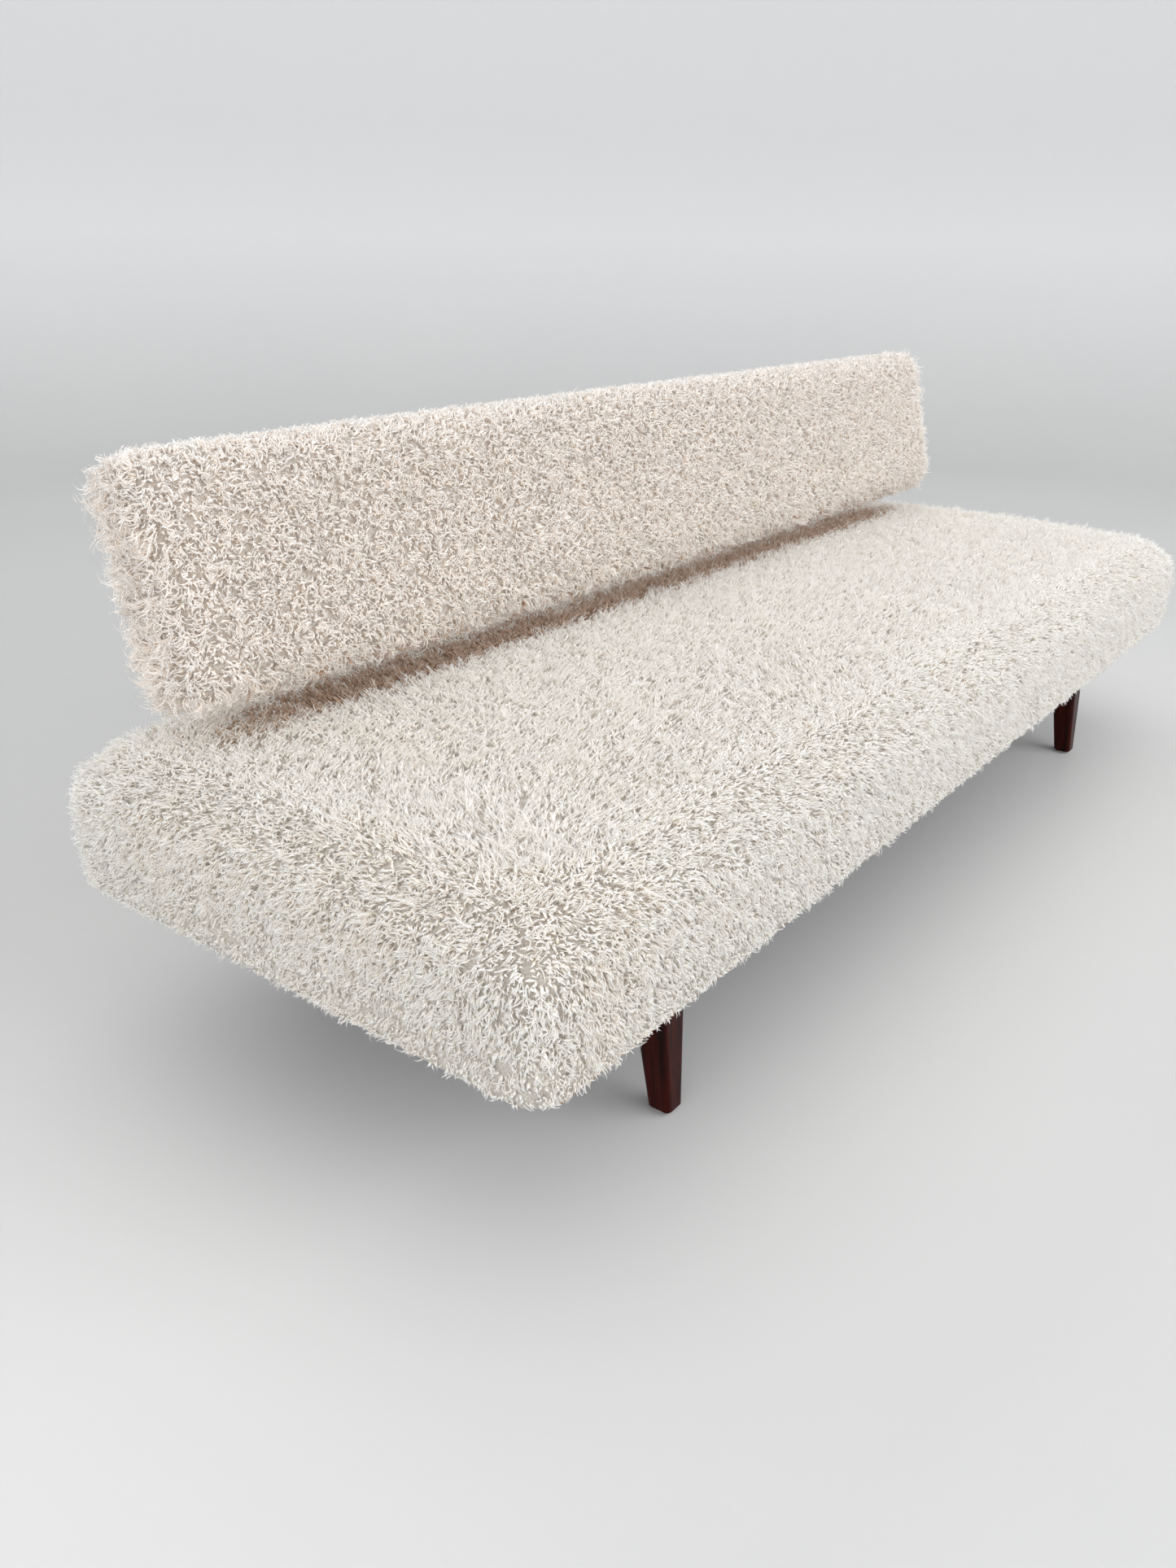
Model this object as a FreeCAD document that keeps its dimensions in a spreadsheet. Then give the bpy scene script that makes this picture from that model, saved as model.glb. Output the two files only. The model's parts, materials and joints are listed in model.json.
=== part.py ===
import FreeCAD, Part
import math
import os
import re
import Sketcher

# A mid-century daybed: an upholstered seat slab on four short tapered legs, and a long
# upholstered backrest on two steel arms that are hinged behind the seat.
# X runs along the seat, the front faces -Y, +Z is up. The origin lies on the floor, at the
# middle of the outline. Lengths are in millimetres, angles in degrees.

DRIVING = {
    # seat slab, over the fleece
    "seat_length": 1950,
    "seat_depth": 708,
    "seat_mid_y": -9.4,
    "seat_underside": 181,
    "seat_edge_top": 352,
    "seat_crown_top": 390,
    "seat_fleece": 23,
    "seat_plan_round": 70,
    "seat_top_round": 45,
    "seat_low_round": 9,
    "end_drop_length": 260,
    # seat frame
    "rail_thick": 26,
    "rail_high": 84,
    "rail_bottom": 193,
    "frame_half_length": 952,
    "frame_half_depth": 331,
    "beam_wide": 92,
    "beam_thick": 30,
    "brace_high": 60,
    "block_side": 70,
    "block_high": 62,
    "frame_screw_radius": 2.5,
    "frame_screw_long": 70,
    "frame_screw_sink": 4,
    "frame_screw_spread": 42,
    # webbing
    "strap_count": 10,
    "strap_pitch": 185,
    "strap_wide": 50,
    "strap_thick": 2.4,
    "strap_end_gap": 6,
    "tack_head_radius": 3.5,
    "tack_head_thick": 1,
    "tack_shank_radius": 0.9,
    "tack_shank_long": 11,
    "tack_spread": 26,
    # dust cover below the frame
    "dust_thick": 1.5,
    "dust_overlap": 13,
    "dust_window_gap": 2,
    "dust_tack_inset": 6,
    "dust_tack_pitch": 150,
    "dust_tack_count": 12,
    # legs
    "leg_half_span": 667,
    "foot_half_track": 270,
    "leg_splay": 6.3,
    "leg_top_side": 48,
    "leg_foot_side": 29,
    "leg_edge_round": 7,
    "leg_foot_bevel": 3,
    "plate_side": 70,
    "plate_thick": 2.5,
    "plate_screw_radius": 2,
    "plate_screw_offset": 28,
    "plate_screw_long": 22,
    "screw_head_radius": 3.8,
    "screw_head_thick": 1.6,
    "stud_radius": 4,
    "stud_in_leg": 45,
    "stud_in_beam": 24,
    "glide_radius": 9,
    "glide_thick": 2.5,
    # hinge behind the seat
    "arm_half_span": 550,
    "arm_thick": 8,
    "arm_half_wide": 17.5,
    "pivot_height": 250,
    "pivot_radius": 5,
    "pivot_play": 0.05,
    "pivot_head_thick": 6,
    "pivot_nut_thick": 8,
    "pivot_end": 10,
    "bolt_play": 0.2,
    "heel_share": 0.9,
    "stop_gap": 0.3,
    "swing_range": 60,
    "bracket_thick": 4,
    "bracket_wide": 64,
    "bracket_high": 70,
    "bracket_drop": 12,
    "cheek_radius": 20,
    "friction_washer_radius": 13,
    "friction_washer_thick": 1.2,
    "friction_washer_gap": 0.2,
    "bracket_bolt_radius": 3,
    "bracket_bolt_x": 23,
    "bracket_bolt_z": 26,
    "bolt_head_thick": 4,
    "bolt_nut_thick": 5,
    "bolt_end": 7,
    "notch_wide": 80,
    "soft_gap": 0.3,
    # backrest slab, over the fleece, in its own leaning frame
    "back_half_length": 915,
    "back_high": 279,
    "back_thick": 131,
    "back_front": 130,
    "back_bottom": 420,
    "back_lean": 14.8,
    "back_round": 34,
    "back_fleece": 22,
    # backrest frame
    "back_rail_wide": 45,
    "back_rail_thick": 38,
    "back_frame_half": 889,
    "back_frame_low": 25,
    "back_frame_front": 62,
    "back_panel_thick": 6,
    "back_pad_thick": 8.5,
    "slit_wide": 16,
    "slit_low": 60,
    "slit_high": 134,
    "arm_bend_height": 395,
    "arm_join_low": 118,
    "arm_join_high": 190,
    "arm_join_deep": 81,
    "arm_bolt_radius": 4,
    "arm_bolt_first": 128,
    "arm_bolt_pitch": 28,
    "arm_bolt_head": 5,
    "arm_nut_thick": 6,
    "arm_bolt_end": 9,
}

SIDES = {"left": -1, "right": 1}
ENDS = {"front": -1, "rear": 1}
AXIS_TURN = {"x": ((0, 1, 0), 90), "y": ((1, 0, 0), -90), "z": ((0, 0, 1), 0)}

doc = FreeCAD.newDocument("daybed")
sheet = doc.addObject("Spreadsheet::Sheet", "Sizes")
for row, (alias, value) in enumerate(DRIVING.items(), start=1):
    sheet.set(f"A{row}", alias)
    sheet.set(f"B{row}", str(value))
    sheet.setAlias(f"B{row}", alias)
doc.recompute()
subparts = []


def size(alias):
    """The number in a named cell of the sheet."""
    return float(sheet.get(alias))


def bind(thing, prop, rule):
    """Bind one property to a formula over the sheet's named cells."""
    cells = re.sub(r"[a-z_]+", lambda m: f"Sizes.{m[0]}" if m[0] in DRIVING else m[0], str(rule))
    thing.setExpression(prop, cells)


def place(thing, x=0, y=0, z=0, axis=(0, 0, 1), angle=0):
    """Bind a thing's position, with a fixed turn about an axis."""
    turn = FreeCAD.Rotation(FreeCAD.Vector(*axis), angle)
    thing.Placement = FreeCAD.Placement(FreeCAD.Vector(0, 0, 0), turn)
    for prop, rule in (("x", x), ("y", y), ("z", z)):
        bind(thing, f"Placement.Base.{prop}", rule)
    return thing


def box(name, length, width, height, x=0, y=0, z=0, axis=(0, 0, 1), angle=0):
    """A box, placed by its low corner."""
    thing = doc.addObject("Part::Box", name)
    bind(thing, "Length", length)
    bind(thing, "Width", width)
    bind(thing, "Height", height)
    return place(thing, x, y, z, axis, angle)


def rod(name, radius, length, x=0, y=0, z=0, along="z"):
    """A cylinder along a row axis, placed by the middle of its low end."""
    thing = doc.addObject("Part::Cylinder", name)
    bind(thing, "Radius", radius)
    bind(thing, "Height", length)
    return place(thing, x, y, z, *AXIS_TURN[along])


def hexagon(name, across_corners, length, x, y, z, along="z"):
    """A hexagonal head or nut along a row axis."""
    thing = doc.addObject("Part::Prism", name)
    thing.Polygon = 6
    bind(thing, "Circumradius", f"({across_corners}) / 2")
    bind(thing, "Height", length)
    return place(thing, x, y, z, *AXIS_TURN[along])


def fuse(name, pieces):
    """Join touching pieces into one solid."""
    thing = doc.addObject("Part::MultiFuse", name)
    thing.Shapes = pieces
    thing.Refine = True
    return thing


def group(name, pieces):
    """Separate pieces that share one node."""
    thing = doc.addObject("Part::Compound", name)
    thing.Links = pieces
    return thing


def cut(name, base, tools):
    """Take one or more tools away from a base."""
    thing = doc.addObject("Part::Cut", name)
    thing.Base = base
    thing.Tool = tools[0] if len(tools) == 1 else group(f"{name}_tools", tools)
    return thing


def keep(thing, label):
    """Name a thing as one of the daybed's sub-parts."""
    thing.Label = label
    subparts.append(thing)
    return thing


def new_body(name):
    """An empty PartDesign body."""
    return doc.addObject("PartDesign::Body", name)


def sketch_on(body, name, role, lift=0, shift=0):
    """A sketch on one of a body's own origin planes, lifted off it and shifted along its y."""
    sketch = body.newObject("Sketcher::SketchObject", name)
    support = next(item for item in body.Origin.OriginFeatures if item.Role == role)
    sketch.AttachmentSupport = [(support, "")]
    sketch.MapMode = "FlatFace"
    bind(sketch, "AttachmentOffset.Base.z", lift)
    bind(sketch, "AttachmentOffset.Base.y", shift)
    return sketch


def set_rule(sketch, constraint, name, rule):
    """Add a named constraint whose value follows a formula."""
    number = sketch.addConstraint(constraint)
    sketch.renameConstraint(number, name)
    bind(sketch, f"Constraints.{name}", rule)


def draw_polygon(sketch, corners):
    """A closed outline of straight lines through the corners."""
    points = [FreeCAD.Vector(x, y, 0) for x, y in corners]
    for start, end in zip(points, points[1:] + points[:1]):
        sketch.addGeometry(Part.LineSegment(start, end), False)
    for line in range(len(points)):
        following = (line + 1) % len(points)
        sketch.addConstraint(Sketcher.Constraint("Coincident", line, 2, following, 1))


def draw_rectangle(sketch, width, height):
    """A rectangle around the sketch's origin."""
    draw_polygon(sketch, [(-1, -1), (1, -1), (1, 1), (-1, 1)])
    for line, kind in enumerate(("Horizontal", "Vertical", "Horizontal", "Vertical")):
        sketch.addConstraint(Sketcher.Constraint(kind, line))
    sketch.addConstraint(Sketcher.Constraint("Symmetric", 0, 1, 2, 1, -1, 1))
    set_rule(sketch, Sketcher.Constraint("DistanceX", 0, 1, 0, 2, 2), "width", width)
    set_rule(sketch, Sketcher.Constraint("DistanceY", 1, 1, 1, 2, 2), "height", height)


def draw_rounded_square(sketch, side, radius):
    """A square with rounded corners around the sketch's origin: lines 0, 2, 4 and 6 with an
    arc after each."""
    for turn in range(4):
        rotation = FreeCAD.Rotation(FreeCAD.Vector(0, 0, 1), 90 * turn)
        ends = [rotation.multVec(FreeCAD.Vector(x, -3, 0)) for x in (-2, 2)]
        middle = rotation.multVec(FreeCAD.Vector(2, -2, 0))
        sketch.addGeometry(Part.LineSegment(*ends), False)
        circle = Part.Circle(middle, FreeCAD.Vector(0, 0, 1), 1)
        start = math.radians(90 * turn - 90)
        sketch.addGeometry(Part.ArcOfCircle(circle, start, start + math.pi / 2), False)
    for edge in range(8):
        sketch.addConstraint(Sketcher.Constraint("Tangent", edge, 2, (edge + 1) % 8, 1))
    for line, kind in ((0, "Horizontal"), (2, "Vertical"), (4, "Horizontal"), (6, "Vertical")):
        sketch.addConstraint(Sketcher.Constraint(kind, line))
    for arc in (3, 5, 7):
        sketch.addConstraint(Sketcher.Constraint("Equal", 1, arc))
    sketch.addConstraint(Sketcher.Constraint("Symmetric", 0, 1, 4, 1, -1, 1))
    flat = f"({side}) - 2 * ({radius})"
    set_rule(sketch, Sketcher.Constraint("Radius", 1, 1), "radius", radius)
    set_rule(sketch, Sketcher.Constraint("DistanceX", 0, 1, 0, 2, 4), "width", flat)
    set_rule(sketch, Sketcher.Constraint("DistanceY", 2, 1, 2, 2, 4), "height", flat)


def draw_circle(sketch, radius, x=0, y=0):
    """A circle; with no position it sits on the sketch's origin."""
    circle = Part.Circle(FreeCAD.Vector(1, 1, 0), FreeCAD.Vector(0, 0, 1), 1)
    line = sketch.addGeometry(circle, False)
    set_rule(sketch, Sketcher.Constraint("Radius", line, 1), "radius", radius)
    if x == 0 and y == 0:
        sketch.addConstraint(Sketcher.Constraint("Coincident", line, 3, -1, 1))
        return
    set_rule(sketch, Sketcher.Constraint("DistanceX", -1, 1, line, 3, 1), "across", x)
    set_rule(sketch, Sketcher.Constraint("DistanceY", -1, 1, line, 3, 1), "along", y)


def pad(body, sketch, length):
    """Pad a sketch upwards."""
    feature = body.newObject("PartDesign::Pad", f"{sketch.Name}_pad")
    feature.Profile = sketch
    bind(feature, "Length", length)
    return feature


def pocket(body, sketch, length, upwards):
    """Cut a sketch into a body; a pocket cuts downwards unless it is turned round."""
    feature = body.newObject("PartDesign::Pocket", f"{sketch.Name}_pocket")
    feature.Profile = sketch
    feature.Reversed = upwards
    bind(feature, "Length", length)
    return feature


def round_edges(body, base, radius, wanted):
    """Fillet the edges of a feature that a test picks out."""
    doc.recompute()
    names = [f"Edge{i + 1}" for i, edge in enumerate(base.Shape.Edges) if wanted(edge)]
    feature = body.newObject("PartDesign::Fillet", f"{base.Name}_round")
    feature.Base = (base, names)
    bind(feature, "Radius", radius)
    return feature


# ---------------------------------------------------------------- soft forms
def crown_face(half_span, low, edge, top, round_top, round_low, drop):
    """The cross-section of a soft slab, in the YZ plane: its top rises from each edge over
    the drop's length to the crown, and stays level between."""
    def point(across, up):
        return FreeCAD.Vector(0, across, up)

    def corner(centre_across, centre_up, radius, angle):
        turn = math.radians(angle)
        return point(centre_across + radius * math.cos(turn), centre_up + radius * math.sin(turn))

    right, left = half_span, -half_span
    inner = half_span - round_top
    flat = half_span - drop
    edges = [Part.LineSegment(point(left + round_low, low), point(right - round_low, low))]
    edges.append(Part.Arc(point(right - round_low, low),
                          corner(right - round_low, low + round_low, round_low, -45),
                          point(right, low + round_low)))
    edges.append(Part.LineSegment(point(right, low + round_low), point(right, edge - round_top)))
    edges.append(Part.Arc(point(right, edge - round_top),
                          corner(inner, edge - round_top, round_top, 45),
                          point(inner, edge)))
    if flat > 0:
        bow = top - (top - edge) / 4
        edges.append(Part.Arc(point(inner, edge), point((inner + flat) / 2, bow), point(flat, top)))
        edges.append(Part.LineSegment(point(flat, top), point(-flat, top)))
        edges.append(Part.Arc(point(-flat, top), point(-(inner + flat) / 2, bow), point(-inner, edge)))
    else:
        edges.append(Part.Arc(point(inner, edge), point(0, top), point(-inner, edge)))
    edges.append(Part.Arc(point(-inner, edge),
                          corner(-inner, edge - round_top, round_top, 135),
                          point(left, edge - round_top)))
    edges.append(Part.LineSegment(point(left, edge - round_top), point(left, low + round_low)))
    edges.append(Part.Arc(point(left, low + round_low),
                          corner(left + round_low, low + round_low, round_low, 225),
                          point(left + round_low, low)))
    return Part.Face(Part.Wire([item.toShape() for item in edges]))


# the plan stands this far outside the side faces, so that its corners cut them at an angle
PLAN_LIP = 0.5


def rounded_plan(half_length, half_depth, radius, low, high):
    """An upright block with rounded corners in plan."""
    block = Part.makeBox(2 * half_length, 2 * half_depth, high - low,
                         FreeCAD.Vector(-half_length, -half_depth, low))
    upright = [edge for edge in block.Edges if abs(edge.tangentAt(0).z) > 0.5]
    return block.makeFillet(radius, upright)


def soft_slab(half_length, half_depth, low, edge, top, rounds, drop):
    """A soft slab with a crowned top and rounded sides; rounds are its plan corners, its top
    edge and its lower edge."""
    plan, round_top, round_low = rounds
    across = crown_face(half_depth, low, edge, top, round_top, round_low, half_depth)
    across.translate(FreeCAD.Vector(-half_length - 1, 0, 0))
    across = across.extrude(FreeCAD.Vector(2 * half_length + 2, 0, 0))
    along = crown_face(half_length, low, edge, top, round_top, round_low, drop)
    along.rotate(FreeCAD.Vector(0, 0, 0), FreeCAD.Vector(0, 0, 1), -90)
    along.translate(FreeCAD.Vector(0, -half_depth - 1, 0))
    along = along.extrude(FreeCAD.Vector(0, 2 * half_depth + 2, 0))
    block = rounded_plan(half_length + PLAN_LIP, half_depth + PLAN_LIP, plan, low - 1, top + 1)
    return across.common(along).common(block)


def soft_feature(label, shape, placement):
    """Keep a soft shape as a sub-part at its place."""
    thing = doc.addObject("Part::Feature", label)
    thing.Shape = shape
    thing.Placement = placement
    return keep(thing, label)


def block_between(low, high):
    """A plain block between two corners."""
    span = [b - a for a, b in zip(low, high)]
    return Part.makeBox(*span, FreeCAD.Vector(*low))


# ---------------------------------------------------------------- seat frame
END_RAIL_X = {"left": "-frame_half_length", "right": "frame_half_length - rail_thick"}
INNER_Y = "seat_mid_y - frame_half_depth + rail_thick"
INNER_DEPTH = "2 * frame_half_depth - 2 * rail_thick"
BRACKET_FACE = "seat_mid_y + frame_half_depth"
BRACKET_BOLT_SPOTS = [(side, dx, dz) for side in SIDES for dx in (-1, 1) for dz in (-1, 1)]


def bracket_bolt_x(side, across):
    """The X of one column of bracket bolts."""
    return f"{SIDES[side]} * arm_half_span + {across} * bracket_bolt_x"


def bracket_bolt_z(up):
    """The Z of one row of bracket bolts."""
    return f"pivot_height - bracket_drop + {up} * bracket_bolt_z"


def long_rail(end, sy):
    """A long rail, with its outer corners cut off at 45 degrees so that the cover can be round
    there."""
    body = new_body(f"rail_{end}")
    plan = sketch_on(body, f"rail_{end}_plan", "XY_Plane")
    draw_polygon(plan, [(-2, 0), (2, 0), (1, sy), (-1, sy)])
    plan.addConstraint(Sketcher.Constraint("Horizontal", 0))
    plan.addConstraint(Sketcher.Constraint("Symmetric", 0, 1, 0, 2, -1, 1))
    plan.addConstraint(Sketcher.Constraint("Symmetric", 2, 1, 2, 2, -2))
    set_rule(plan, Sketcher.Constraint("DistanceX", 0, 1, 0, 2, 4), "inner_edge",
             "2 * frame_half_length")
    set_rule(plan, Sketcher.Constraint("DistanceX", 2, 2, 2, 1, 2), "outer_edge",
             "2 * (frame_half_length - rail_thick)")
    low, high = ((0, 1), (2, 1)) if sy > 0 else ((2, 1), (0, 1))
    set_rule(plan, Sketcher.Constraint("DistanceY", *low, *high, 1), "thickness", "rail_thick")
    pad(body, plan, "rail_high")
    return place(body, 0, f"seat_mid_y + {sy} * (frame_half_depth - rail_thick)", "rail_bottom")


def seat_frame():
    """Four rails, a middle brace and the two beams that carry the legs."""
    keep(long_rail("front", -1), "seat_rail_front")
    holes = [rod(f"rail_hole_{side}_{dx}_{dz}", "bracket_bolt_radius + bolt_play",
                 "rail_thick + 2", bracket_bolt_x(side, dx), f"{BRACKET_FACE} - rail_thick - 1",
                 bracket_bolt_z(dz), "y") for side, dx, dz in BRACKET_BOLT_SPOTS]
    keep(cut("rail_rear_drilled", long_rail("rear", 1), holes), "seat_rail_rear")
    for side, x in END_RAIL_X.items():
        keep(box(f"end_rail_{side}", "rail_thick", INNER_DEPTH, "rail_high",
                 x, INNER_Y, "rail_bottom"), f"seat_rail_{side}")
        beam_x = f"{SIDES[side]} * leg_half_span - beam_wide / 2"
        beam = box(f"beam_{side}", "beam_wide", INNER_DEPTH, "beam_thick",
                   beam_x, INNER_Y, "rail_bottom")
        holes = [rod(f"beam_hole_{side}_{end}", "stud_radius + bolt_play", "stud_in_beam + 1",
                     f"{SIDES[side]} * leg_half_span", leg_top_y(ENDS[end]), "rail_bottom")
                 for end in ENDS]
        keep(cut(f"beam_{side}_drilled", beam, holes), f"leg_beam_{side}")
    keep(box("brace", "rail_thick", INNER_DEPTH, "brace_high",
             "-rail_thick / 2", INNER_Y, "rail_bottom"), "seat_center_brace")


def leg_top_y(front_or_rear):
    """The Y of a leg's top, which stands in from its splayed foot."""
    rise = "(rail_bottom - plate_thick - glide_thick) * tan(leg_splay)"
    return f"seat_mid_y + {front_or_rear} * (foot_half_track - {rise})"


def corner_blocks():
    """Glued three-cornered blocks inside the frame."""
    for side, sx in SIDES.items():
        for end, sy in ENDS.items():
            name = f"corner_block_{end}_{side}"
            body = new_body(name)
            sketch = sketch_on(body, f"{name}_plan", "XY_Plane")
            draw_polygon(sketch, [(0, 0), (-sx, 0), (0, -sy)])
            sketch.addConstraint(Sketcher.Constraint("Coincident", 0, 1, -1, 1))
            sketch.addConstraint(Sketcher.Constraint("Horizontal", 0))
            sketch.addConstraint(Sketcher.Constraint("Vertical", 2))
            set_rule(sketch, Sketcher.Constraint("Distance", 0, 1, 0, 2, 1), "leg_x", "block_side")
            set_rule(sketch, Sketcher.Constraint("Distance", 2, 1, 2, 2, 1), "leg_y", "block_side")
            pad(body, sketch, "block_high")
            place(body, f"{sx} * (frame_half_length - rail_thick)",
                  f"seat_mid_y + {sy} * (frame_half_depth - rail_thick)", "rail_bottom")
            keep(body, name)


def frame_screws():
    """Two sunk screws at each corner, through the long rail into the end rail."""
    screws = []
    head = "(frame_half_depth - rail_thick / 2 - frame_screw_sink)"
    for side, sx in SIDES.items():
        x = f"{sx} * (frame_half_length - rail_thick / 2)"
        for end, sy in ENDS.items():
            start = "0" if sy < 0 else "-frame_screw_long"
            for up in (-1, 1):
                screws.append(rod(f"frame_screw_{side}_{end}_{up}", "frame_screw_radius",
                                  "frame_screw_long", x,
                                  f"seat_mid_y + {sy} * {head} + ({start})",
                                  f"rail_bottom + rail_high / 2 + {up} * frame_screw_spread / 2",
                                  "y"))
    keep(group("frame_screw_group", screws), "frame_screws")


# ---------------------------------------------------------------- webbing and its tacks
def tack(name, x, y, z, points_up):
    """An upholstery tack: a flat head and a thin shank."""
    head_z = f"{z} - tack_head_thick" if points_up else z
    shank_z = z if points_up else f"{z} - tack_shank_long"
    head = rod(f"{name}_head", "tack_head_radius", "tack_head_thick", x, y, head_z)
    shank = rod(f"{name}_shank", "tack_shank_radius", "tack_shank_long", x, y, shank_z)
    return fuse(name, [head, shank])


def webbing():
    """Elastic straps across the frame, each held by two tacks at either end."""
    top = "rail_bottom + rail_high"
    tacks = []
    count = int(size("strap_count"))
    for number in range(count):
        middle = f"({number} - (strap_count - 1) / 2) * strap_pitch"
        name = f"webbing_strap_{number + 1:02d}"
        keep(box(name, "strap_wide", "2 * (frame_half_depth - strap_end_gap)", "strap_thick",
                 f"{middle} - strap_wide / 2",
                 "seat_mid_y - frame_half_depth + strap_end_gap", top), name)
        for end, sy in ENDS.items():
            for across in (-1, 1):
                tacks.append(tack(f"web_tack_{number}_{end}_{across}",
                                  f"{middle} + {across} * tack_spread / 2",
                                  f"seat_mid_y + {sy} * (frame_half_depth - rail_thick / 2)",
                                  f"{top} + strap_thick", False))
    keep(group("web_tack_group", tacks), "webbing_tacks")


def dust_cover():
    """The cloth under the frame, with a window around each leg plate, and its tacks."""
    half_x = "(frame_half_length - dust_overlap)"
    half_y = "(frame_half_depth - dust_overlap)"
    low = "rail_bottom - dust_thick"
    cloth = box("dust_cloth", f"2 * {half_x}", f"2 * {half_y}", "dust_thick",
                f"-{half_x}", f"seat_mid_y - {half_y}", low)
    window = "(plate_side / 2 + dust_window_gap)"
    windows = []
    for side, sx in SIDES.items():
        for end, sy in ENDS.items():
            windows.append(box(f"dust_window_{side}_{end}", f"2 * {window}", f"2 * {window}",
                               "dust_thick + 2", f"{sx} * leg_half_span - {window}",
                               f"{leg_top_y(sy)} - {window}", f"{low} - 1"))
    keep(cut("dust_cloth_cut", cloth, windows), "dust_cover")
    tacks = []
    for end, sy in ENDS.items():
        for number in range(int(size("dust_tack_count"))):
            tacks.append(tack(f"dust_tack_{end}_{number}",
                              f"({number} - (dust_tack_count - 1) / 2) * dust_tack_pitch",
                              f"seat_mid_y + {sy} * ({half_y} - dust_tack_inset)", low, True))
    for side, sx in SIDES.items():
        for number in (-1, 0, 1):
            tacks.append(tack(f"dust_tack_{side}_{number}",
                              f"{sx} * ({half_x} - dust_tack_inset)",
                              f"seat_mid_y + {number} * dust_tack_pitch", low, True))
    keep(group("dust_tack_group", tacks), "dust_cover_tacks")


# ---------------------------------------------------------------- legs
def leg(side, sx, end, sy):
    """A square leg with soft edges that tapers to its foot and splays to front or rear."""
    name = f"leg_{end}_{side}"
    body = new_body(name)
    rise = "(rail_bottom - plate_thick - glide_thick)"
    sections = []
    for part, up, side_rule, round_rule in (
            ("sole", "0", "leg_foot_side - 2 * leg_foot_bevel", "leg_edge_round - leg_foot_bevel"),
            ("foot", "leg_foot_bevel", "leg_foot_side", "leg_edge_round"),
            ("top", rise, "leg_top_side", "leg_edge_round")):
        section = sketch_on(body, f"{name}_{part}", "XY_Plane", f"glide_thick + {up}",
                            f"{-sy} * {up} * tan(leg_splay)")
        draw_rounded_square(section, side_rule, round_rule)
        sections.append(section)
    loft = body.newObject("PartDesign::AdditiveLoft", f"{name}_loft")
    loft.Profile = sections[0]
    loft.Sections = sections[1:]
    loft.Ruled = True
    bore = sketch_on(body, f"{name}_bore", "XY_Plane", f"glide_thick + {rise}",
                     f"{-sy} * {rise} * tan(leg_splay)")
    draw_circle(bore, "stud_radius")
    pocket(body, bore, "stud_in_leg", False)
    place(body, f"{sx} * leg_half_span", f"seat_mid_y + {sy} * foot_half_track")
    keep(body, name)


def leg_plate(side, sx, end, sy):
    """A steel plate with a stud hole and four screw holes, between leg and beam."""
    name = f"leg_plate_{end}_{side}"
    body = new_body(name)
    plan = sketch_on(body, f"{name}_plan", "XY_Plane")
    draw_rectangle(plan, "plate_side", "plate_side")
    plate = pad(body, plan, "plate_thick")
    round_edges(body, plate, "leg_edge_round",
                lambda edge: abs(edge.Length - size("plate_thick")) < 0.01)
    middle = sketch_on(body, f"{name}_middle", "XY_Plane")
    draw_circle(middle, "stud_radius")
    pocket(body, middle, "plate_thick + 1", True)
    spot = sketch_on(body, f"{name}_spot", "XY_Plane")
    draw_circle(spot, "plate_screw_radius", "plate_screw_offset", "plate_screw_offset")
    hole = pocket(body, spot, "plate_thick + 1", True)
    pattern = body.newObject("PartDesign::PolarPattern", f"{name}_pattern")
    pattern.Originals = [hole]
    pattern.Axis = (spot, ["N_Axis"])
    pattern.Angle = 360
    pattern.Occurrences = 4
    body.Tip = pattern
    place(body, f"{sx} * leg_half_span", leg_top_y(sy), "rail_bottom - plate_thick")
    keep(body, name)


def leg_hardware():
    """Studs, plate screws and glides, one set to each leg."""
    studs, screws, glides = [], [], []
    plate_low = "rail_bottom - plate_thick"
    for side, sx in SIDES.items():
        x = f"{sx} * leg_half_span"
        for end, sy in ENDS.items():
            leg(side, sx, end, sy)
            leg_plate(side, sx, end, sy)
            studs.append(rod(f"stud_{side}_{end}", "stud_radius",
                             "stud_in_leg + plate_thick + stud_in_beam", x, leg_top_y(sy),
                             f"{plate_low} - stud_in_leg"))
            for dx in (-1, 1):
                for dy in (-1, 1):
                    spot = (f"{x} + {dx} * plate_screw_offset",
                            f"{leg_top_y(sy)} + {dy} * plate_screw_offset")
                    name = f"plate_screw_{side}_{end}_{dx}_{dy}"
                    head = rod(f"{name}_head", "screw_head_radius", "screw_head_thick", *spot,
                               f"{plate_low} - screw_head_thick")
                    shank = rod(f"{name}_shank", "plate_screw_radius", "plate_screw_long", *spot,
                                plate_low)
                    screws.append(fuse(name, [head, shank]))
            glides.append(rod(f"glide_{side}_{end}", "glide_radius", "glide_thick", x,
                              f"seat_mid_y + {sy} * foot_half_track"))
    keep(group("stud_group", studs), "leg_studs")
    keep(group("plate_screw_group", screws), "leg_plate_screws")
    keep(group("glide_group", glides), "foot_glides")


# ---------------------------------------------------------------- hinge behind the seat
PIVOT_Y = f"({BRACKET_FACE} + bracket_thick + arm_half_wide + stop_gap)"
CHEEK_GAP = "(arm_thick / 2 + friction_washer_gap + friction_washer_thick)"


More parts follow.
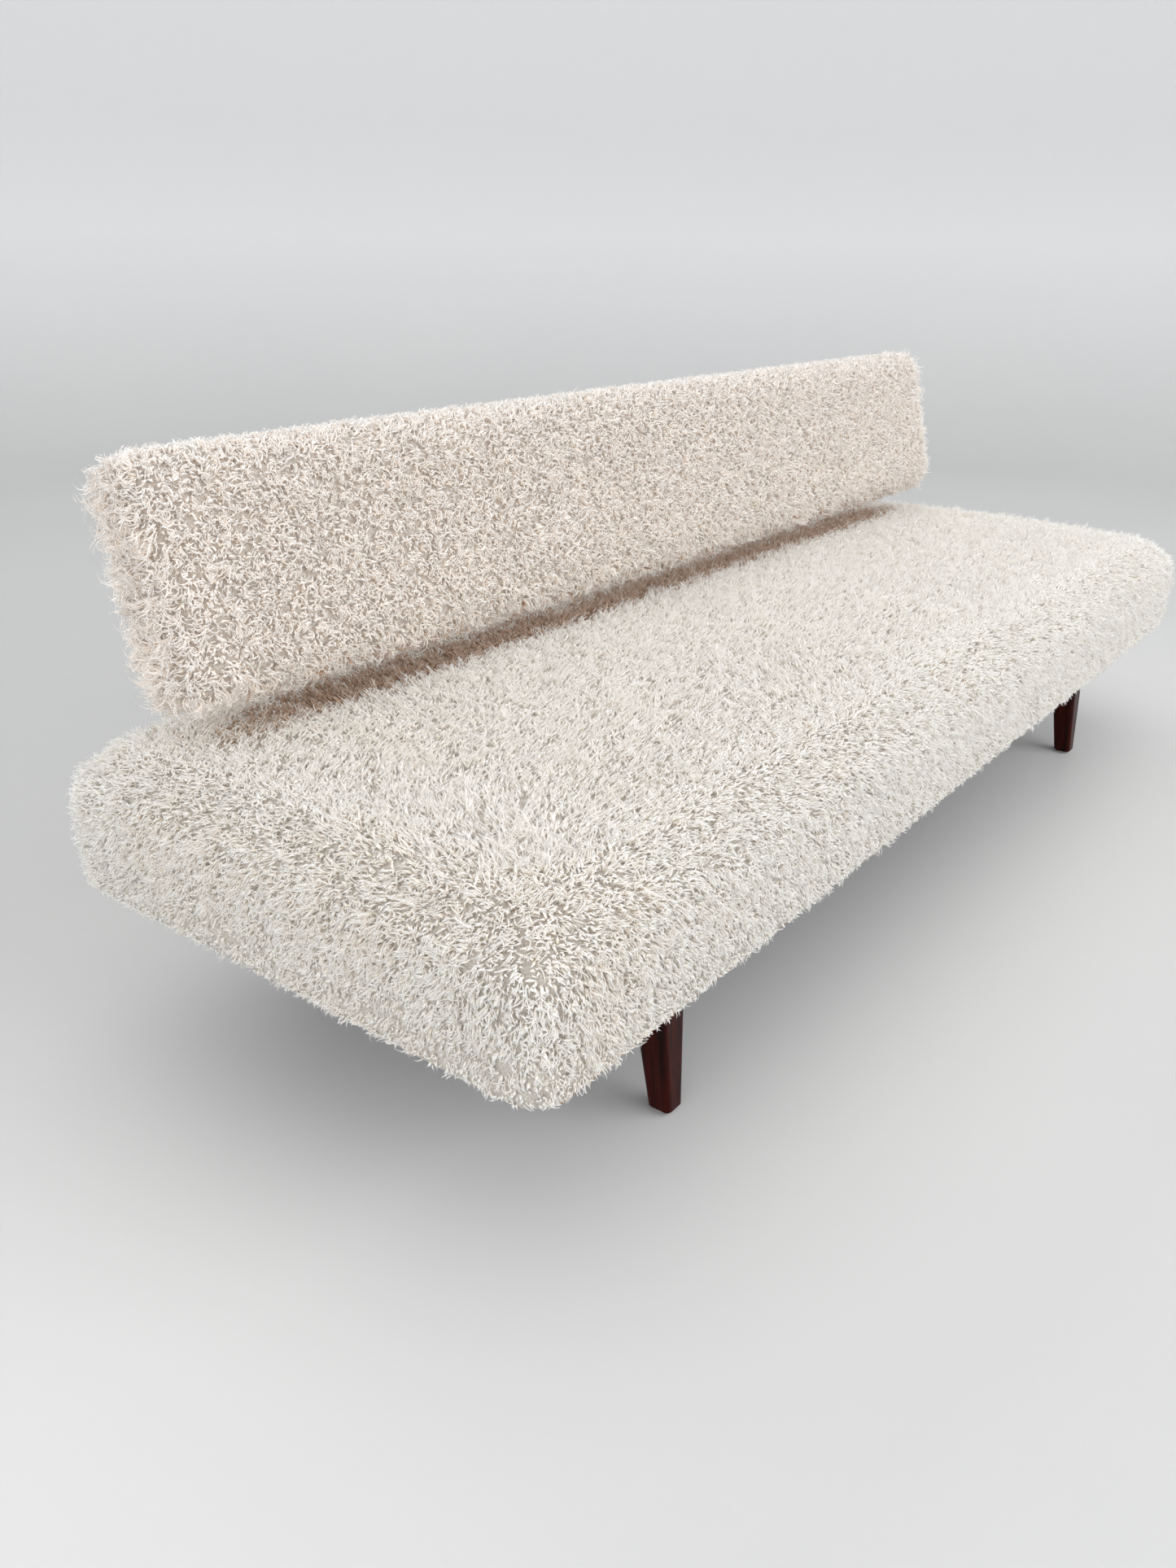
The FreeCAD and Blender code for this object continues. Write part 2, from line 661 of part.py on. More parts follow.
def hinge_bracket(side, sx):
    """A steel plate with two cheeks that hold the pivot, and four bolt holes."""
    middle = f"{sx} * arm_half_span"
    pieces = [box(f"bracket_base_{side}", "bracket_wide", "bracket_thick", "bracket_high",
                  f"{middle} - bracket_wide / 2", BRACKET_FACE,
                  "pivot_height - bracket_drop - bracket_high / 2")]
    for number, x in enumerate((f"{middle} - {CHEEK_GAP} - bracket_thick",
                                f"{middle} + {CHEEK_GAP}")):
        pieces.append(box(f"cheek_{side}_{number}", "bracket_thick",
                          f"{PIVOT_Y} - ({BRACKET_FACE})", "2 * cheek_radius",
                          x, BRACKET_FACE, "pivot_height - cheek_radius"))
        pieces.append(rod(f"cheek_end_{side}_{number}", "cheek_radius", "bracket_thick",
                          x, PIVOT_Y, "pivot_height", "x"))
    holes = [rod(f"bracket_pivot_{side}", "pivot_radius + pivot_play", "bracket_wide",
                 f"{middle} - bracket_wide / 2", PIVOT_Y, "pivot_height", "x")]
    for dx in (-1, 1):
        for dz in (-1, 1):
            holes.append(rod(f"bracket_hole_{side}_{dx}_{dz}", "bracket_bolt_radius + bolt_play",
                             "bracket_thick + 2", bracket_bolt_x(side, dx),
                             f"{BRACKET_FACE} - 1", bracket_bolt_z(dz), "y"))
    keep(cut(f"bracket_drilled_{side}", fuse(f"bracket_blank_{side}", pieces), holes),
         f"hinge_bracket_{side}")


def outward(name, sx, near, far, shape, breadth):
    """A round or six-sided piece on the pivot's axis, between two distances from the arm's
    middle, counted away from the middle of the seat."""
    start = near if sx > 0 else f"-({far})"
    return shape(name, breadth, f"({far}) - ({near})", f"{sx} * arm_half_span + {start}",
                 PIVOT_Y, "pivot_height", "x")


def hinge_fasteners():
    """Bolts and nuts through the rear rail, the two pivot bolts, their nuts and washers."""
    bolts, nuts, pin_nuts, washers = [], [], [], []
    rail_inside = f"{BRACKET_FACE} - rail_thick"
    for side, dx, dz in BRACKET_BOLT_SPOTS:
        spot_x, spot_z = bracket_bolt_x(side, dx), bracket_bolt_z(dz)
        name = f"bracket_bolt_{side}_{dx}_{dz}"
        shank = rod(f"{name}_shank", "bracket_bolt_radius", "rail_thick + bracket_thick + bolt_end",
                    spot_x, f"{rail_inside} - bolt_end", spot_z, "y")
        head = rod(f"{name}_head", "2 * bracket_bolt_radius", "bolt_head_thick", spot_x,
                   f"{BRACKET_FACE} + bracket_thick", spot_z, "y")
        bolts.append(fuse(name, [shank, head]))
        blank = hexagon(f"{name}_nut", "4 * bracket_bolt_radius", "bolt_nut_thick", spot_x,
                        f"{rail_inside} - bolt_nut_thick", spot_z, "y")
        bore = rod(f"{name}_nut_bore", "bracket_bolt_radius", "bolt_nut_thick + 2", spot_x,
                   f"{rail_inside} - bolt_nut_thick - 1", spot_z, "y")
        nuts.append(cut(f"{name}_nut_cut", blank, [bore]))
    cheek_face = f"({CHEEK_GAP} + bracket_thick)"
    for side, sx in SIDES.items():
        shank = outward(f"pivot_shank_{side}", sx, f"-{cheek_face}", f"{cheek_face} + pivot_end",
                        rod, "pivot_radius")
        head = outward(f"pivot_head_{side}", sx, f"-{cheek_face} - pivot_head_thick",
                       f"-{cheek_face}", hexagon, "3.6 * pivot_radius")
        keep(fuse(f"pivot_bolt_{side}", [shank, head]), f"hinge_pin_{side}")
        blank = outward(f"pivot_nut_{side}", sx, cheek_face,
                        f"{cheek_face} + pivot_nut_thick", hexagon, "3.6 * pivot_radius")
        bore = outward(f"pivot_nut_bore_{side}", sx, f"{cheek_face} - 1",
                       f"{cheek_face} + pivot_nut_thick + 1", rod, "pivot_radius")
        pin_nuts.append(cut(f"pivot_nut_cut_{side}", blank, [bore]))
        for number, face in enumerate((f"-{CHEEK_GAP}", f"{CHEEK_GAP} - friction_washer_thick")):
            disc = outward(f"washer_{side}_{number}", sx, face,
                           f"{face} + friction_washer_thick", rod, "friction_washer_radius")
            hole = outward(f"washer_bore_{side}_{number}", sx, f"{face} - 1",
                           f"{face} + friction_washer_thick + 1", rod,
                           "pivot_radius + pivot_play")
            washers.append(cut(f"washer_cut_{side}_{number}", disc, [hole]))
    keep(group("bracket_bolt_group", bolts), "bracket_bolts")
    keep(group("bracket_nut_group", nuts), "bracket_nuts")
    keep(group("pivot_nut_group", pin_nuts), "hinge_pin_nuts")
    keep(group("washer_group", washers), "friction_washers")


def leaned(deep, high):
    """Y and Z formulas of a point that lies deep behind the backrest's front face and high
    above its lower edge, measured in the leaning frame."""
    return (f"seat_mid_y + back_front + ({deep}) * cos(back_lean) + ({high}) * sin(back_lean)",
            f"back_bottom - ({deep}) * sin(back_lean) + ({high}) * cos(back_lean)")


def leaned_number(deep, high):
    """The same point as numbers."""
    lean = math.radians(size("back_lean"))
    return (size("seat_mid_y") + size("back_front")
            + deep * math.cos(lean) + high * math.sin(lean),
            size("back_bottom") - deep * math.sin(lean) + high * math.cos(lean))


def strip(name, length, x, y, z, lean):
    """A flat bar that runs up from a joint, leaning by an angle from the vertical."""
    turn = math.radians(lean)
    return box(name, "arm_thick", "2 * arm_half_wide", length, x,
               f"{y} - arm_half_wide * {math.cos(turn):.6f}",
               f"{z} - arm_half_wide * {math.sin(-turn):.6f}", (1, 0, 0), -lean)


def hinge_arm(side, sx):
    """A cranked steel bar from the pivot, up behind the seat and forward into the backrest;
    the heel below the pivot meets the bracket when the backrest is folded back."""
    x = f"{sx} * arm_half_span - arm_thick / 2"
    join_low = leaned("arm_join_deep", "arm_join_low")
    join_high = leaned("arm_join_deep", "arm_join_high")
    pivot_y = size("seat_mid_y") + size("frame_half_depth") + size("bracket_thick")
    pivot_y += size("arm_half_wide") + size("stop_gap")
    joint = leaned_number(size("arm_join_deep"), size("arm_join_low"))
    run = (joint[0] - pivot_y, joint[1] - size("arm_bend_height"))
    crank = math.degrees(math.atan2(run[0], run[1]))
    pieces = [
        strip(f"arm_low_{side}", "arm_bend_height - pivot_height", x, PIVOT_Y,
              "pivot_height", 0),
        strip(f"arm_crank_{side}", f"{math.hypot(*run):.4f}", x, PIVOT_Y,
              "arm_bend_height", crank),
        strip(f"arm_top_{side}", "arm_join_high - arm_join_low", x, *join_low,
              size("back_lean")),
    ]
    spots = [(PIVOT_Y, "pivot_height"), (PIVOT_Y, "arm_bend_height"), join_low, join_high]
    for number, (y, z) in enumerate(spots):
        pieces.append(rod(f"arm_joint_{side}_{number}", "arm_half_wide", "arm_thick",
                          x, y, z, "x"))
    swing = math.radians(size("swing_range"))
    reach = size("arm_half_wide")
    heel = reach * size("heel_share")
    low_corner = (-reach * math.cos(swing) + heel * math.sin(swing),
                  -reach * math.sin(swing) - heel * math.cos(swing))
    pieces.append(box(f"arm_heel_{side}", "arm_thick", "arm_half_wide", f"{heel:.4f}", x,
                      f"{PIVOT_Y} + {low_corner[0]:.5f}",
                      f"pivot_height + {low_corner[1]:.5f}", (1, 0, 0), size("swing_range")))
    holes = [rod(f"arm_bore_{side}", "pivot_radius + pivot_play", "arm_thick + 2",
                 f"{x} - 1", PIVOT_Y, "pivot_height", "x")]
    for number in range(3):
        spot = leaned("arm_join_deep", f"(arm_bolt_first + {number} * arm_bolt_pitch)")
        holes.append(rod(f"arm_hole_{side}_{number}", "arm_bolt_radius + bolt_play",
                         "arm_thick + 2", f"{x} - 1", *spot, "x"))
    keep(cut(f"arm_drilled_{side}", fuse(f"arm_blank_{side}", pieces), holes),
         f"hinge_arm_{side}")


# ---------------------------------------------------------------- backrest
def back_place():
    """The leaning frame of the backrest: X along, Y deep, Z up the slope."""
    spot = FreeCAD.Vector(0, size("seat_mid_y") + size("back_front"), size("back_bottom"))
    return FreeCAD.Placement(spot, FreeCAD.Rotation(FreeCAD.Vector(1, 0, 0), -size("back_lean")))


def back_box(name, length, width, height, x, deep, high):
    """A box in the backrest's leaning frame."""
    y, z = leaned(deep, high)
    return box(name, length, width, height, x, y, z, (1, 0, 0), -size("back_lean"))


def post_bolt_spots():
    """The bolts that hold the arms: side, sign and height up the slope."""
    return [(side, sx, number, f"(arm_bolt_first + {number} * arm_bolt_pitch)")
            for side, sx in SIDES.items() for number in range(3)]


def back_frame():
    """Two rails, two end stiles and the two posts that the arms are bolted to."""
    span = "2 * back_frame_half"
    inner_low = "(back_frame_low + back_rail_wide)"
    inner_high = "(back_high - back_frame_low - back_rail_wide)"
    keep(back_box("back_low_rail", span, "back_rail_thick", "back_rail_wide",
                  "-back_frame_half", "back_frame_front", "back_frame_low"), "back_rail_bottom")
    keep(back_box("back_top_rail", span, "back_rail_thick", "back_rail_wide",
                  "-back_frame_half", "back_frame_front", inner_high), "back_rail_top")
    for side, sx in SIDES.items():
        stile_x = "-back_frame_half" if sx < 0 else "back_frame_half - back_rail_wide"
        keep(back_box(f"stile_{side}", "back_rail_wide", "back_rail_thick",
                      f"{inner_high} - {inner_low}", stile_x, "back_frame_front", inner_low),
             f"back_stile_{side}")
        face = f"{sx} * (arm_half_span + arm_thick / 2)"
        post_x = face if sx > 0 else f"{face} - back_rail_wide"
        post = back_box(f"post_{side}", "back_rail_wide", "back_rail_thick",
                        f"{inner_high} - {inner_low}", post_x, "back_frame_front", inner_low)
        holes = [rod(f"post_hole_{side}_{number}", "arm_bolt_radius + bolt_play",
                     "back_rail_wide + 2", f"{post_x} - 1", *leaned("arm_join_deep", high), "x")
                 for where, _, number, high in post_bolt_spots() if where == side]
        keep(cut(f"post_drilled_{side}", post, holes), f"back_post_{side}")
    keep(back_box("panel", "2 * back_frame_half", "back_panel_thick",
                  "back_high - 2 * back_frame_low", "-back_frame_half",
                  "back_frame_front - back_panel_thick", "back_frame_low"), "back_panel")


def arm_bolts():
    """Bolts through each arm and its post, with their nuts on the far side."""
    bolts, nuts = [], []
    for side, sx, number, high in post_bolt_spots():
        y, z = leaned("arm_join_deep", high)
        name = f"arm_bolt_{side}_{number}"
        arm_face = f"{sx} * (arm_half_span - arm_thick / 2)"
        far_face = f"{sx} * (arm_half_span + arm_thick / 2 + back_rail_wide)"
        start = arm_face if sx > 0 else f"{far_face} - arm_bolt_end"
        head_x = f"{arm_face} - arm_bolt_head" if sx > 0 else arm_face
        nut_x = far_face if sx > 0 else f"{far_face} - arm_nut_thick"
        shank = rod(f"{name}_shank", "arm_bolt_radius",
                    "arm_thick + back_rail_wide + arm_bolt_end", start, y, z, "x")
        head = hexagon(f"{name}_head", "3.6 * arm_bolt_radius", "arm_bolt_head",
                       head_x, y, z, "x")
        bolts.append(fuse(name, [shank, head]))
        blank = hexagon(f"{name}_nut", "3.6 * arm_bolt_radius", "arm_nut_thick",
                        nut_x, y, z, "x")
        bore = rod(f"{name}_nut_bore", "arm_bolt_radius", "arm_nut_thick + 2",
                   f"{nut_x} - 1", y, z, "x")
        nuts.append(cut(f"{name}_nut_cut", blank, [bore]))
    keep(group("arm_bolt_group", bolts), "arm_bolts")
    keep(group("arm_nut_group", nuts), "arm_nuts")


def back_soft_parts():
    """Front foam, rear pad and fleece cover, with slits where the arms come in."""
    half, high, thick = size("back_half_length"), size("back_high"), size("back_thick")
    wall, corner = size("back_fleece"), size("back_round")
    front, rear = size("back_frame_front") - size("back_panel_thick"), size("back_frame_front")
    rear += size("back_rail_thick")

    def form(inset):
        block = block_between((-half + inset, inset, inset),
                              (half - inset, thick - inset, high - inset))
        return block.makeFillet(corner - inset * 0.85, block.Edges)

    def span(deep_from, deep_to, bottom, top):
        return block_between((-half, deep_from, bottom), (half, deep_to, top))

    slits = [block_between((sx * size("arm_half_span") - size("slit_wide") / 2, rear - 1,
                            size("slit_low")),
                           (sx * size("arm_half_span") + size("slit_wide") / 2, thick + 1,
                            size("slit_high"))) for sx in SIDES.values()]
    gap, frame_half, frame_low = size("soft_gap"), size("back_frame_half"), size("back_frame_low")
    frame_space = block_between((-frame_half - gap, front - gap, frame_low - gap),
                                (frame_half + gap, rear + gap, high - frame_low + gap))
    where = back_place()
    inside = form(wall + gap)
    foam = inside.common(span(0, front, 0, high))
    pad_shape = inside.common(span(rear, rear + size("back_pad_thick"), 0, high)).cut(slits)
    cover = form(0).cut([form(wall), frame_space] + slits)
    soft_feature("back_foam", foam, where)
    soft_feature("back_pad", pad_shape, where)
    soft_feature("back_cover", cover, where)


def seat_soft_parts():
    """Seat foam on the webbing and the fleece cover that wraps foam and frame; the cover is
    open below the frame and notched where the hinge arms stand."""
    half_x, half_y = size("seat_length") / 2, size("seat_depth") / 2
    low, edge, top = size("seat_underside"), size("seat_edge_top"), size("seat_crown_top")
    wall, drop = size("seat_fleece"), size("end_drop_length")
    rounds = (size("seat_plan_round"), size("seat_top_round"), size("seat_low_round"))
    frame_low = size("rail_bottom")
    web_top = frame_low + size("rail_high") + size("strap_thick") + size("tack_head_thick")
    where = FreeCAD.Placement(FreeCAD.Vector(0, size("seat_mid_y"), 0), FreeCAD.Rotation())
    frame_x, frame_y = size("frame_half_length"), size("frame_half_depth")
    overlap = size("dust_overlap")

    def inner(clear, bottom):
        shell = wall + clear
        slab = soft_slab(half_x - shell, half_y - shell, bottom - 1, edge - shell, top - shell,
                         (rounds[0] - shell, rounds[1] - shell, 0.5), drop - shell)
        return slab.common(block_between((-half_x, -half_y, bottom), (half_x, half_y, top)))

    gap = size("soft_gap")
    notches = [block_between((sx * size("arm_half_span") - size("notch_wide") / 2,
                              frame_y - 2, low - 1),
                             (sx * size("arm_half_span") + size("notch_wide") / 2,
                              half_y + 1, top + 1)) for sx in SIDES.values()]
    frame_space = block_between((-frame_x - gap, -frame_y - gap, frame_low),
                                (frame_x + gap, frame_y + gap, web_top + 1))
    window = block_between((-frame_x + overlap - 1, -frame_y + overlap - 1, low - 1),
                           (frame_x - overlap + 1, frame_y - overlap + 1, frame_low + 1))
    body = soft_slab(half_x, half_y, low, edge, top, rounds, drop)
    cover = body.cut([inner(0, web_top + gap / 3), frame_space, window] + notches)
    foam = inner(gap, web_top + gap / 2)
    soft_feature("seat_cover", cover, where)
    soft_feature("seat_foam", foam, where)


# ---------------------------------------------------------------- the whole daybed
seat_frame()
corner_blocks()
frame_screws()
webbing()
dust_cover()
leg_hardware()
for side_name, side_sign in SIDES.items():
    hinge_bracket(side_name, side_sign)
    hinge_arm(side_name, side_sign)
hinge_fasteners()
back_frame()
arm_bolts()
back_soft_parts()
seat_soft_parts()
doc.recompute()

failed = [item.Label for item in doc.Objects if {"Invalid", "Error"} & set(item.State)]
for item in subparts:
    if item.Shape.isNull() or not item.Shape.isValid() or not item.Shape.Solids:
        failed.append(item.Label)
if failed:
    raise RuntimeError(f"these objects failed: {sorted(set(failed))}")
if len({item.Label for item in subparts}) != len(subparts):
    raise RuntimeError("two sub-parts share a name")

os.makedirs("parts", exist_ok=True)
for item in subparts:
    item.Shape.exportStep(f"parts/{item.Label}.step")
    solids = len(item.Shape.Solids)
    print(f"{item.Label}: {solids} solid(s), {item.Shape.Volume / 1000:.1f} cm3")
print(len(subparts), "nodes")
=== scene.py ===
import json
import math

import bmesh
import bpy
import numpy as np
from mathutils import Matrix, Vector


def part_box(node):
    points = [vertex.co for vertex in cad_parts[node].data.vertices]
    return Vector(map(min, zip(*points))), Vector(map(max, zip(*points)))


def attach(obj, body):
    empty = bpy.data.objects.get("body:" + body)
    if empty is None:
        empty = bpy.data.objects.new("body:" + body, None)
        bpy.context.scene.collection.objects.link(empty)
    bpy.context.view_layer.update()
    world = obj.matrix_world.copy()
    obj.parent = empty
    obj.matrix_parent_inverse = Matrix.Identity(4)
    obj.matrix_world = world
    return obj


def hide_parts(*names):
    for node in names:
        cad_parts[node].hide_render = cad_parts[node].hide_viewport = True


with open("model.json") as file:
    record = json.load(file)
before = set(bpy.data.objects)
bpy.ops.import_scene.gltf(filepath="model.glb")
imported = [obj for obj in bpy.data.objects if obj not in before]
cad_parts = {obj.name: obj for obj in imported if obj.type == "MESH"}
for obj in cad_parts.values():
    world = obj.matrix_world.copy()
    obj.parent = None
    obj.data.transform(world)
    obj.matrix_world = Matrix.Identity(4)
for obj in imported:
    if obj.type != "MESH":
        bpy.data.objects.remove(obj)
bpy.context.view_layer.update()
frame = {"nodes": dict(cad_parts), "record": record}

# A daybed covered in shaggy fleece. Metres; X along the seat, the front faces -Y, +Z is up.

# ---------------------------------------------------------------- sizes
FUR_DEEP = 0.015  # the CAD covers' surface is the fleece's; the hide lies this far inside
SEAT_LOW, SEAT_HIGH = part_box("seat_cover")
SEAT_MID_Y = (SEAT_LOW.y + SEAT_HIGH.y) / 2
SEAT_HALF_X = SEAT_HIGH.x - FUR_DEEP
SEAT_HALF_Y = (SEAT_HIGH.y - SEAT_LOW.y) / 2 - FUR_DEEP
SEAT_BOTTOM = SEAT_LOW.z + 0.003
SEAT_EDGE_TOP = 0.337
SEAT_VOXEL, SEAT_SWELL_CAP = 0.014, 0.014
CROWN_ALONG, CROWN_ACROSS = 0.015, 0.011  # the middle's rise over the ends and over the sides
CLOTH_LOW, CLOTH_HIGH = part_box("dust_cover")
ARM_X = (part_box("hinge_arm_right")[0].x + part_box("hinge_arm_right")[1].x) / 2
RAIL_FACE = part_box("seat_rail_rear")[1].y
NOTCH_HALF = 0.038
BACK_LEAN = math.radians(14.8)
BACK_ORIGIN = Vector((0, 0.1206, 0.420))
BACK_HALF_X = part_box("back_cover")[1].x - FUR_DEEP
BACK_HIGH = 0.279
BACK_THICK = 0.131
BACK_VOXEL, BACK_SWELL_CAP = 0.012, 0.010
CLOTH_PRESSURE, CLOTH_FRAMES = 4.0, 20
RIM_BAND = 0.10
BACK_TO_ROW = Matrix.Translation(BACK_ORIGIN) @ Matrix.Rotation(-BACK_LEAN, 4, "X")

# ---------------------------------------------------------------- the photographer's view
SENSOR, LENS = 36, 28.172289  # millimetres
CAMERA_PLACE = (-1.585, -0.8625, 0.856)
CAMERA_TURN, CAMERA_DIP, CAMERA_ROLL = 52.9, 23.6, 0.82  # degrees

# ---------------------------------------------------------------- the studio
FLAT_FLOOR, SWEEP, WALL_TOP, AROUND = 3.9, 1.4, 3.5, 96

scene = bpy.context.scene


# ---------------------------------------------------------------- materials
class Nodes:
    """A material's node tree, with short calls to add and join nodes."""

    def __init__(self, name, roughness=0.5, **sockets):
        self.material = bpy.data.materials.new(name)
        self.material.use_nodes = True
        self.tree = self.material.node_tree
        self.shader = self.tree.nodes["Principled BSDF"]
        self.shader.inputs["Roughness"].default_value = roughness
        for socket, value in sockets.items():
            self.shader.inputs[socket.replace("_", " ")].default_value = value
        place = self.tree.nodes.new("ShaderNodeTexCoord")
        self.place = place.outputs["Object"]

    def add(self, kind, **props):
        node = self.tree.nodes.new(f"ShaderNode{kind}")
        for key, value in props.items():
            setattr(node, key, value)
        return node

    def join(self, output, socket):
        self.tree.links.new(output, socket)

    def stretch(self, scale):
        node = self.add("Mapping")
        node.inputs["Scale"].default_value = scale
        self.join(self.place, node.inputs["Vector"])
        return node.outputs["Vector"]

    def noise(self, scale, detail=4, rough=0.6, place=None, distortion=0):
        node = self.add("TexNoise")
        node.inputs["Scale"].default_value = scale
        node.inputs["Detail"].default_value = detail
        node.inputs["Roughness"].default_value = rough
        node.inputs["Distortion"].default_value = distortion
        self.join(place or self.place, node.inputs["Vector"])
        return node.outputs["Fac"]

    def ramp(self, factor, stops):
        node = self.add("ValToRGB")
        elements = node.color_ramp.elements
        while len(elements) < len(stops):
            elements.new(0.5)
        for element, (position, colour) in zip(elements, stops):
            element.position = position
            element.color = (*colour, 1)
        self.join(factor, node.inputs["Fac"])
        return node.outputs["Color"]

    def mix(self, factor, first, second, blend="MIX"):
        node = self.add("Mix", data_type="RGBA", blend_type=blend)
        for socket, value in ((0, factor), (6, first), (7, second)):
            if isinstance(value, bpy.types.NodeSocket):
                self.join(value, node.inputs[socket])
            else:
                node.inputs[socket].default_value = value
        return node.outputs[2]

    def colour(self, output):
        self.join(output, self.shader.inputs["Base Color"])

    def roughness(self, factor, low, high):
        node = self.add("MapRange")
        node.inputs["To Min"].default_value = low
        node.inputs["To Max"].default_value = high
        self.join(factor, node.inputs["Value"])
        self.join(node.outputs["Result"], self.shader.inputs["Roughness"])

    def bump(self, factor, strength, distance):
        node = self.add("Bump")
        node.inputs["Strength"].default_value = strength
        node.inputs["Distance"].default_value = distance
        self.join(factor, node.inputs["Height"])
        self.join(node.outputs["Normal"], self.shader.inputs["Normal"])


def wood(name, dark, light, grain_axis, rough, shine=0.5):
    """Straight-grained wood: long streaks with fine pores."""
    made = Nodes(name, rough, Specular_IOR_Level=shine)
    scale = [55, 55, 55]
    scale[grain_axis] = 3.2
    long_grain = made.noise(1.0, 6, 0.62, made.stretch(scale), 1.2)
    scale = [420, 420, 420]
    scale[grain_axis] = 14
    pores = made.noise(1.0, 3, 0.5, made.stretch(scale))
    patches = made.noise(7, 2)
    middle = tuple((a + b) / 2 for a, b in zip(dark, light))
    base = made.ramp(long_grain, ((0.32, dark), (0.52, middle), (0.72, light)))
    shade = made.ramp(pores, ((0.38, (0.55, 0.5, 0.48)), (0.56, (1, 1, 1))))
    tone = made.ramp(patches, ((0.3, (0.82, 0.8, 0.8)), (0.7, (1.08, 1.05, 1.0))))
    made.colour(made.mix(0.7, made.mix(1.0, base, shade, "MULTIPLY"), tone, "MULTIPLY"))
    made.roughness(pores, rough * 0.8, min(1, rough * 1.35))
    made.bump(pores, 0.25, 0.0004)
    return made.material


def metal(name, colour, metallic, rough, wear):
    """Painted or plated steel with faint scuffs."""
    made = Nodes(name, rough, Metallic=metallic)
    scuffs = made.noise(160, 5, 0.65)
    clouds = made.noise(22, 3)
    worn = tuple(min(1, c + wear) for c in colour)
    base = made.ramp(scuffs, ((0.45, colour), (0.78, worn)))
    tone = made.ramp(clouds, ((0.3, (0.86, 0.86, 0.86)), (0.7, (1.05, 1.05, 1.05))))
    made.colour(made.mix(1.0, base, tone, "MULTIPLY"))
    made.roughness(clouds, rough * 0.8, rough * 1.25)
    made.bump(scuffs, 0.12, 0.0002)
    return made.material


def woven(name, warp, weft, pitch, rough=0.9):
    """A plain weave: two crossed sets of threads."""
    made = Nodes(name, rough, Sheen_Weight=0.25)
    threads = []
    for direction in ("X", "Y"):
        wave = made.add("TexWave", bands_direction=direction, wave_profile="SIN")
        wave.inputs["Scale"].default_value = 0.314 / pitch
        wave.inputs["Distortion"].default_value = 0.4
        made.join(made.place, wave.inputs["Vector"])
        threads.append(wave.outputs["Fac"])
    slubs = made.noise(240, 3)
    checker = made.mix(0.5, threads[0], threads[1])
    base = made.ramp(checker, ((0.25, warp), (0.75, weft)))
    tone = made.ramp(slubs, ((0.3, (0.75, 0.75, 0.75)), (0.7, (1.1, 1.1, 1.1))))
    made.colour(made.mix(1.0, base, tone, "MULTIPLY"))
    made.bump(checker, 0.5, 0.0005)
    return made.material


def hide(name, dark, light):
    """The backing between the locks: short, matted wool."""
    made = Nodes(name, 0.95, Sheen_Weight=0.3)
    curls = made.add("TexVoronoi", feature="F1")
    curls.inputs["Scale"].default_value = 330
    curls.inputs["Randomness"].default_value = 1.0
    made.join(made.place, curls.inputs["Vector"])
    wool = made.noise(420, 3, 0.6, None, 2.5)
    clouds = made.noise(9, 4)
    base = made.ramp(wool, ((0.40, dark), (0.56, light)))
    tone = made.ramp(curls.outputs["Distance"], ((0.2, (1, 1, 1)), (0.8, (0.90, 0.88, 0.86))))
    shade = made.ramp(clouds, ((0.3, (0.92, 0.91, 0.9)), (0.7, (1.04, 1.03, 1.02))))
    made.colour(made.mix(1.0, made.mix(1.0, base, tone, "MULTIPLY"), shade, "MULTIPLY"))
    made.bump(wool, 0.9, 0.004)
    return made.material


def plastic(name, colour, rough):
    """Moulded plastic or fibre with a fine matt texture."""
    made = Nodes(name, rough)
    grain = made.noise(900, 2)
    dirt = made.noise(60, 4)
    base = made.ramp(dirt, ((0.3, tuple(c * 0.78 for c in colour)), (0.7, colour)))
    made.colour(base)
    made.roughness(dirt, rough * 0.8, min(1, rough * 1.2))
    made.bump(grain, 0.15, 0.0002)
    return made.material


WOOL_DEPTH = 0.004  # how far light travels inside the wool
# painted light: the locks glow faintly in their own colour, standing for light that several locks
# pass on
WOOL_PAINTED_GLOW = 0.1  # stands for light that several locks pass on


def lock_colours(prefix, root, body, tip, spread):
    """Plain materials for the locks: root, body and tip, each in every hue, each with a faint
    painted glow.
    """
    made = []
    for level, base in (("root", root), ("body", body), ("tip", tip)):
        for number, (red, green, blue) in enumerate(spread):
            material = bpy.data.materials.new(f"{prefix}_{level}_{number}")
            material.use_nodes = True
            shader = material.node_tree.nodes["Principled BSDF"]
            colour = (base[0] * red, base[1] * green, base[2] * blue, 1)
            shader.inputs["Base Color"].default_value = colour
            shader.inputs["Roughness"].default_value = 0.85
            shader.inputs["Subsurface Weight"].default_value = 1.0
            shader.inputs["Subsurface Radius"].default_value = (1.0, 1.0, 1.0)
            shader.inputs["Subsurface Scale"].default_value = WOOL_DEPTH
            # painted light: a faint glow in the lock's own colour
            shader.inputs["Emission Color"].default_value = colour
            shader.inputs["Emission Strength"].default_value = WOOL_PAINTED_GLOW
            made.append(material)
    return made


def paint(node, material):
    """Give a CAD node one material."""
    slots = frame["nodes"][node].data.materials
    slots.clear()
    slots.append(material)


# ---------------------------------------------------------------- meshes
def new_object(name, mesh):
    made = bpy.data.objects.new(name, mesh)
    scene.collection.objects.link(made)
    return made


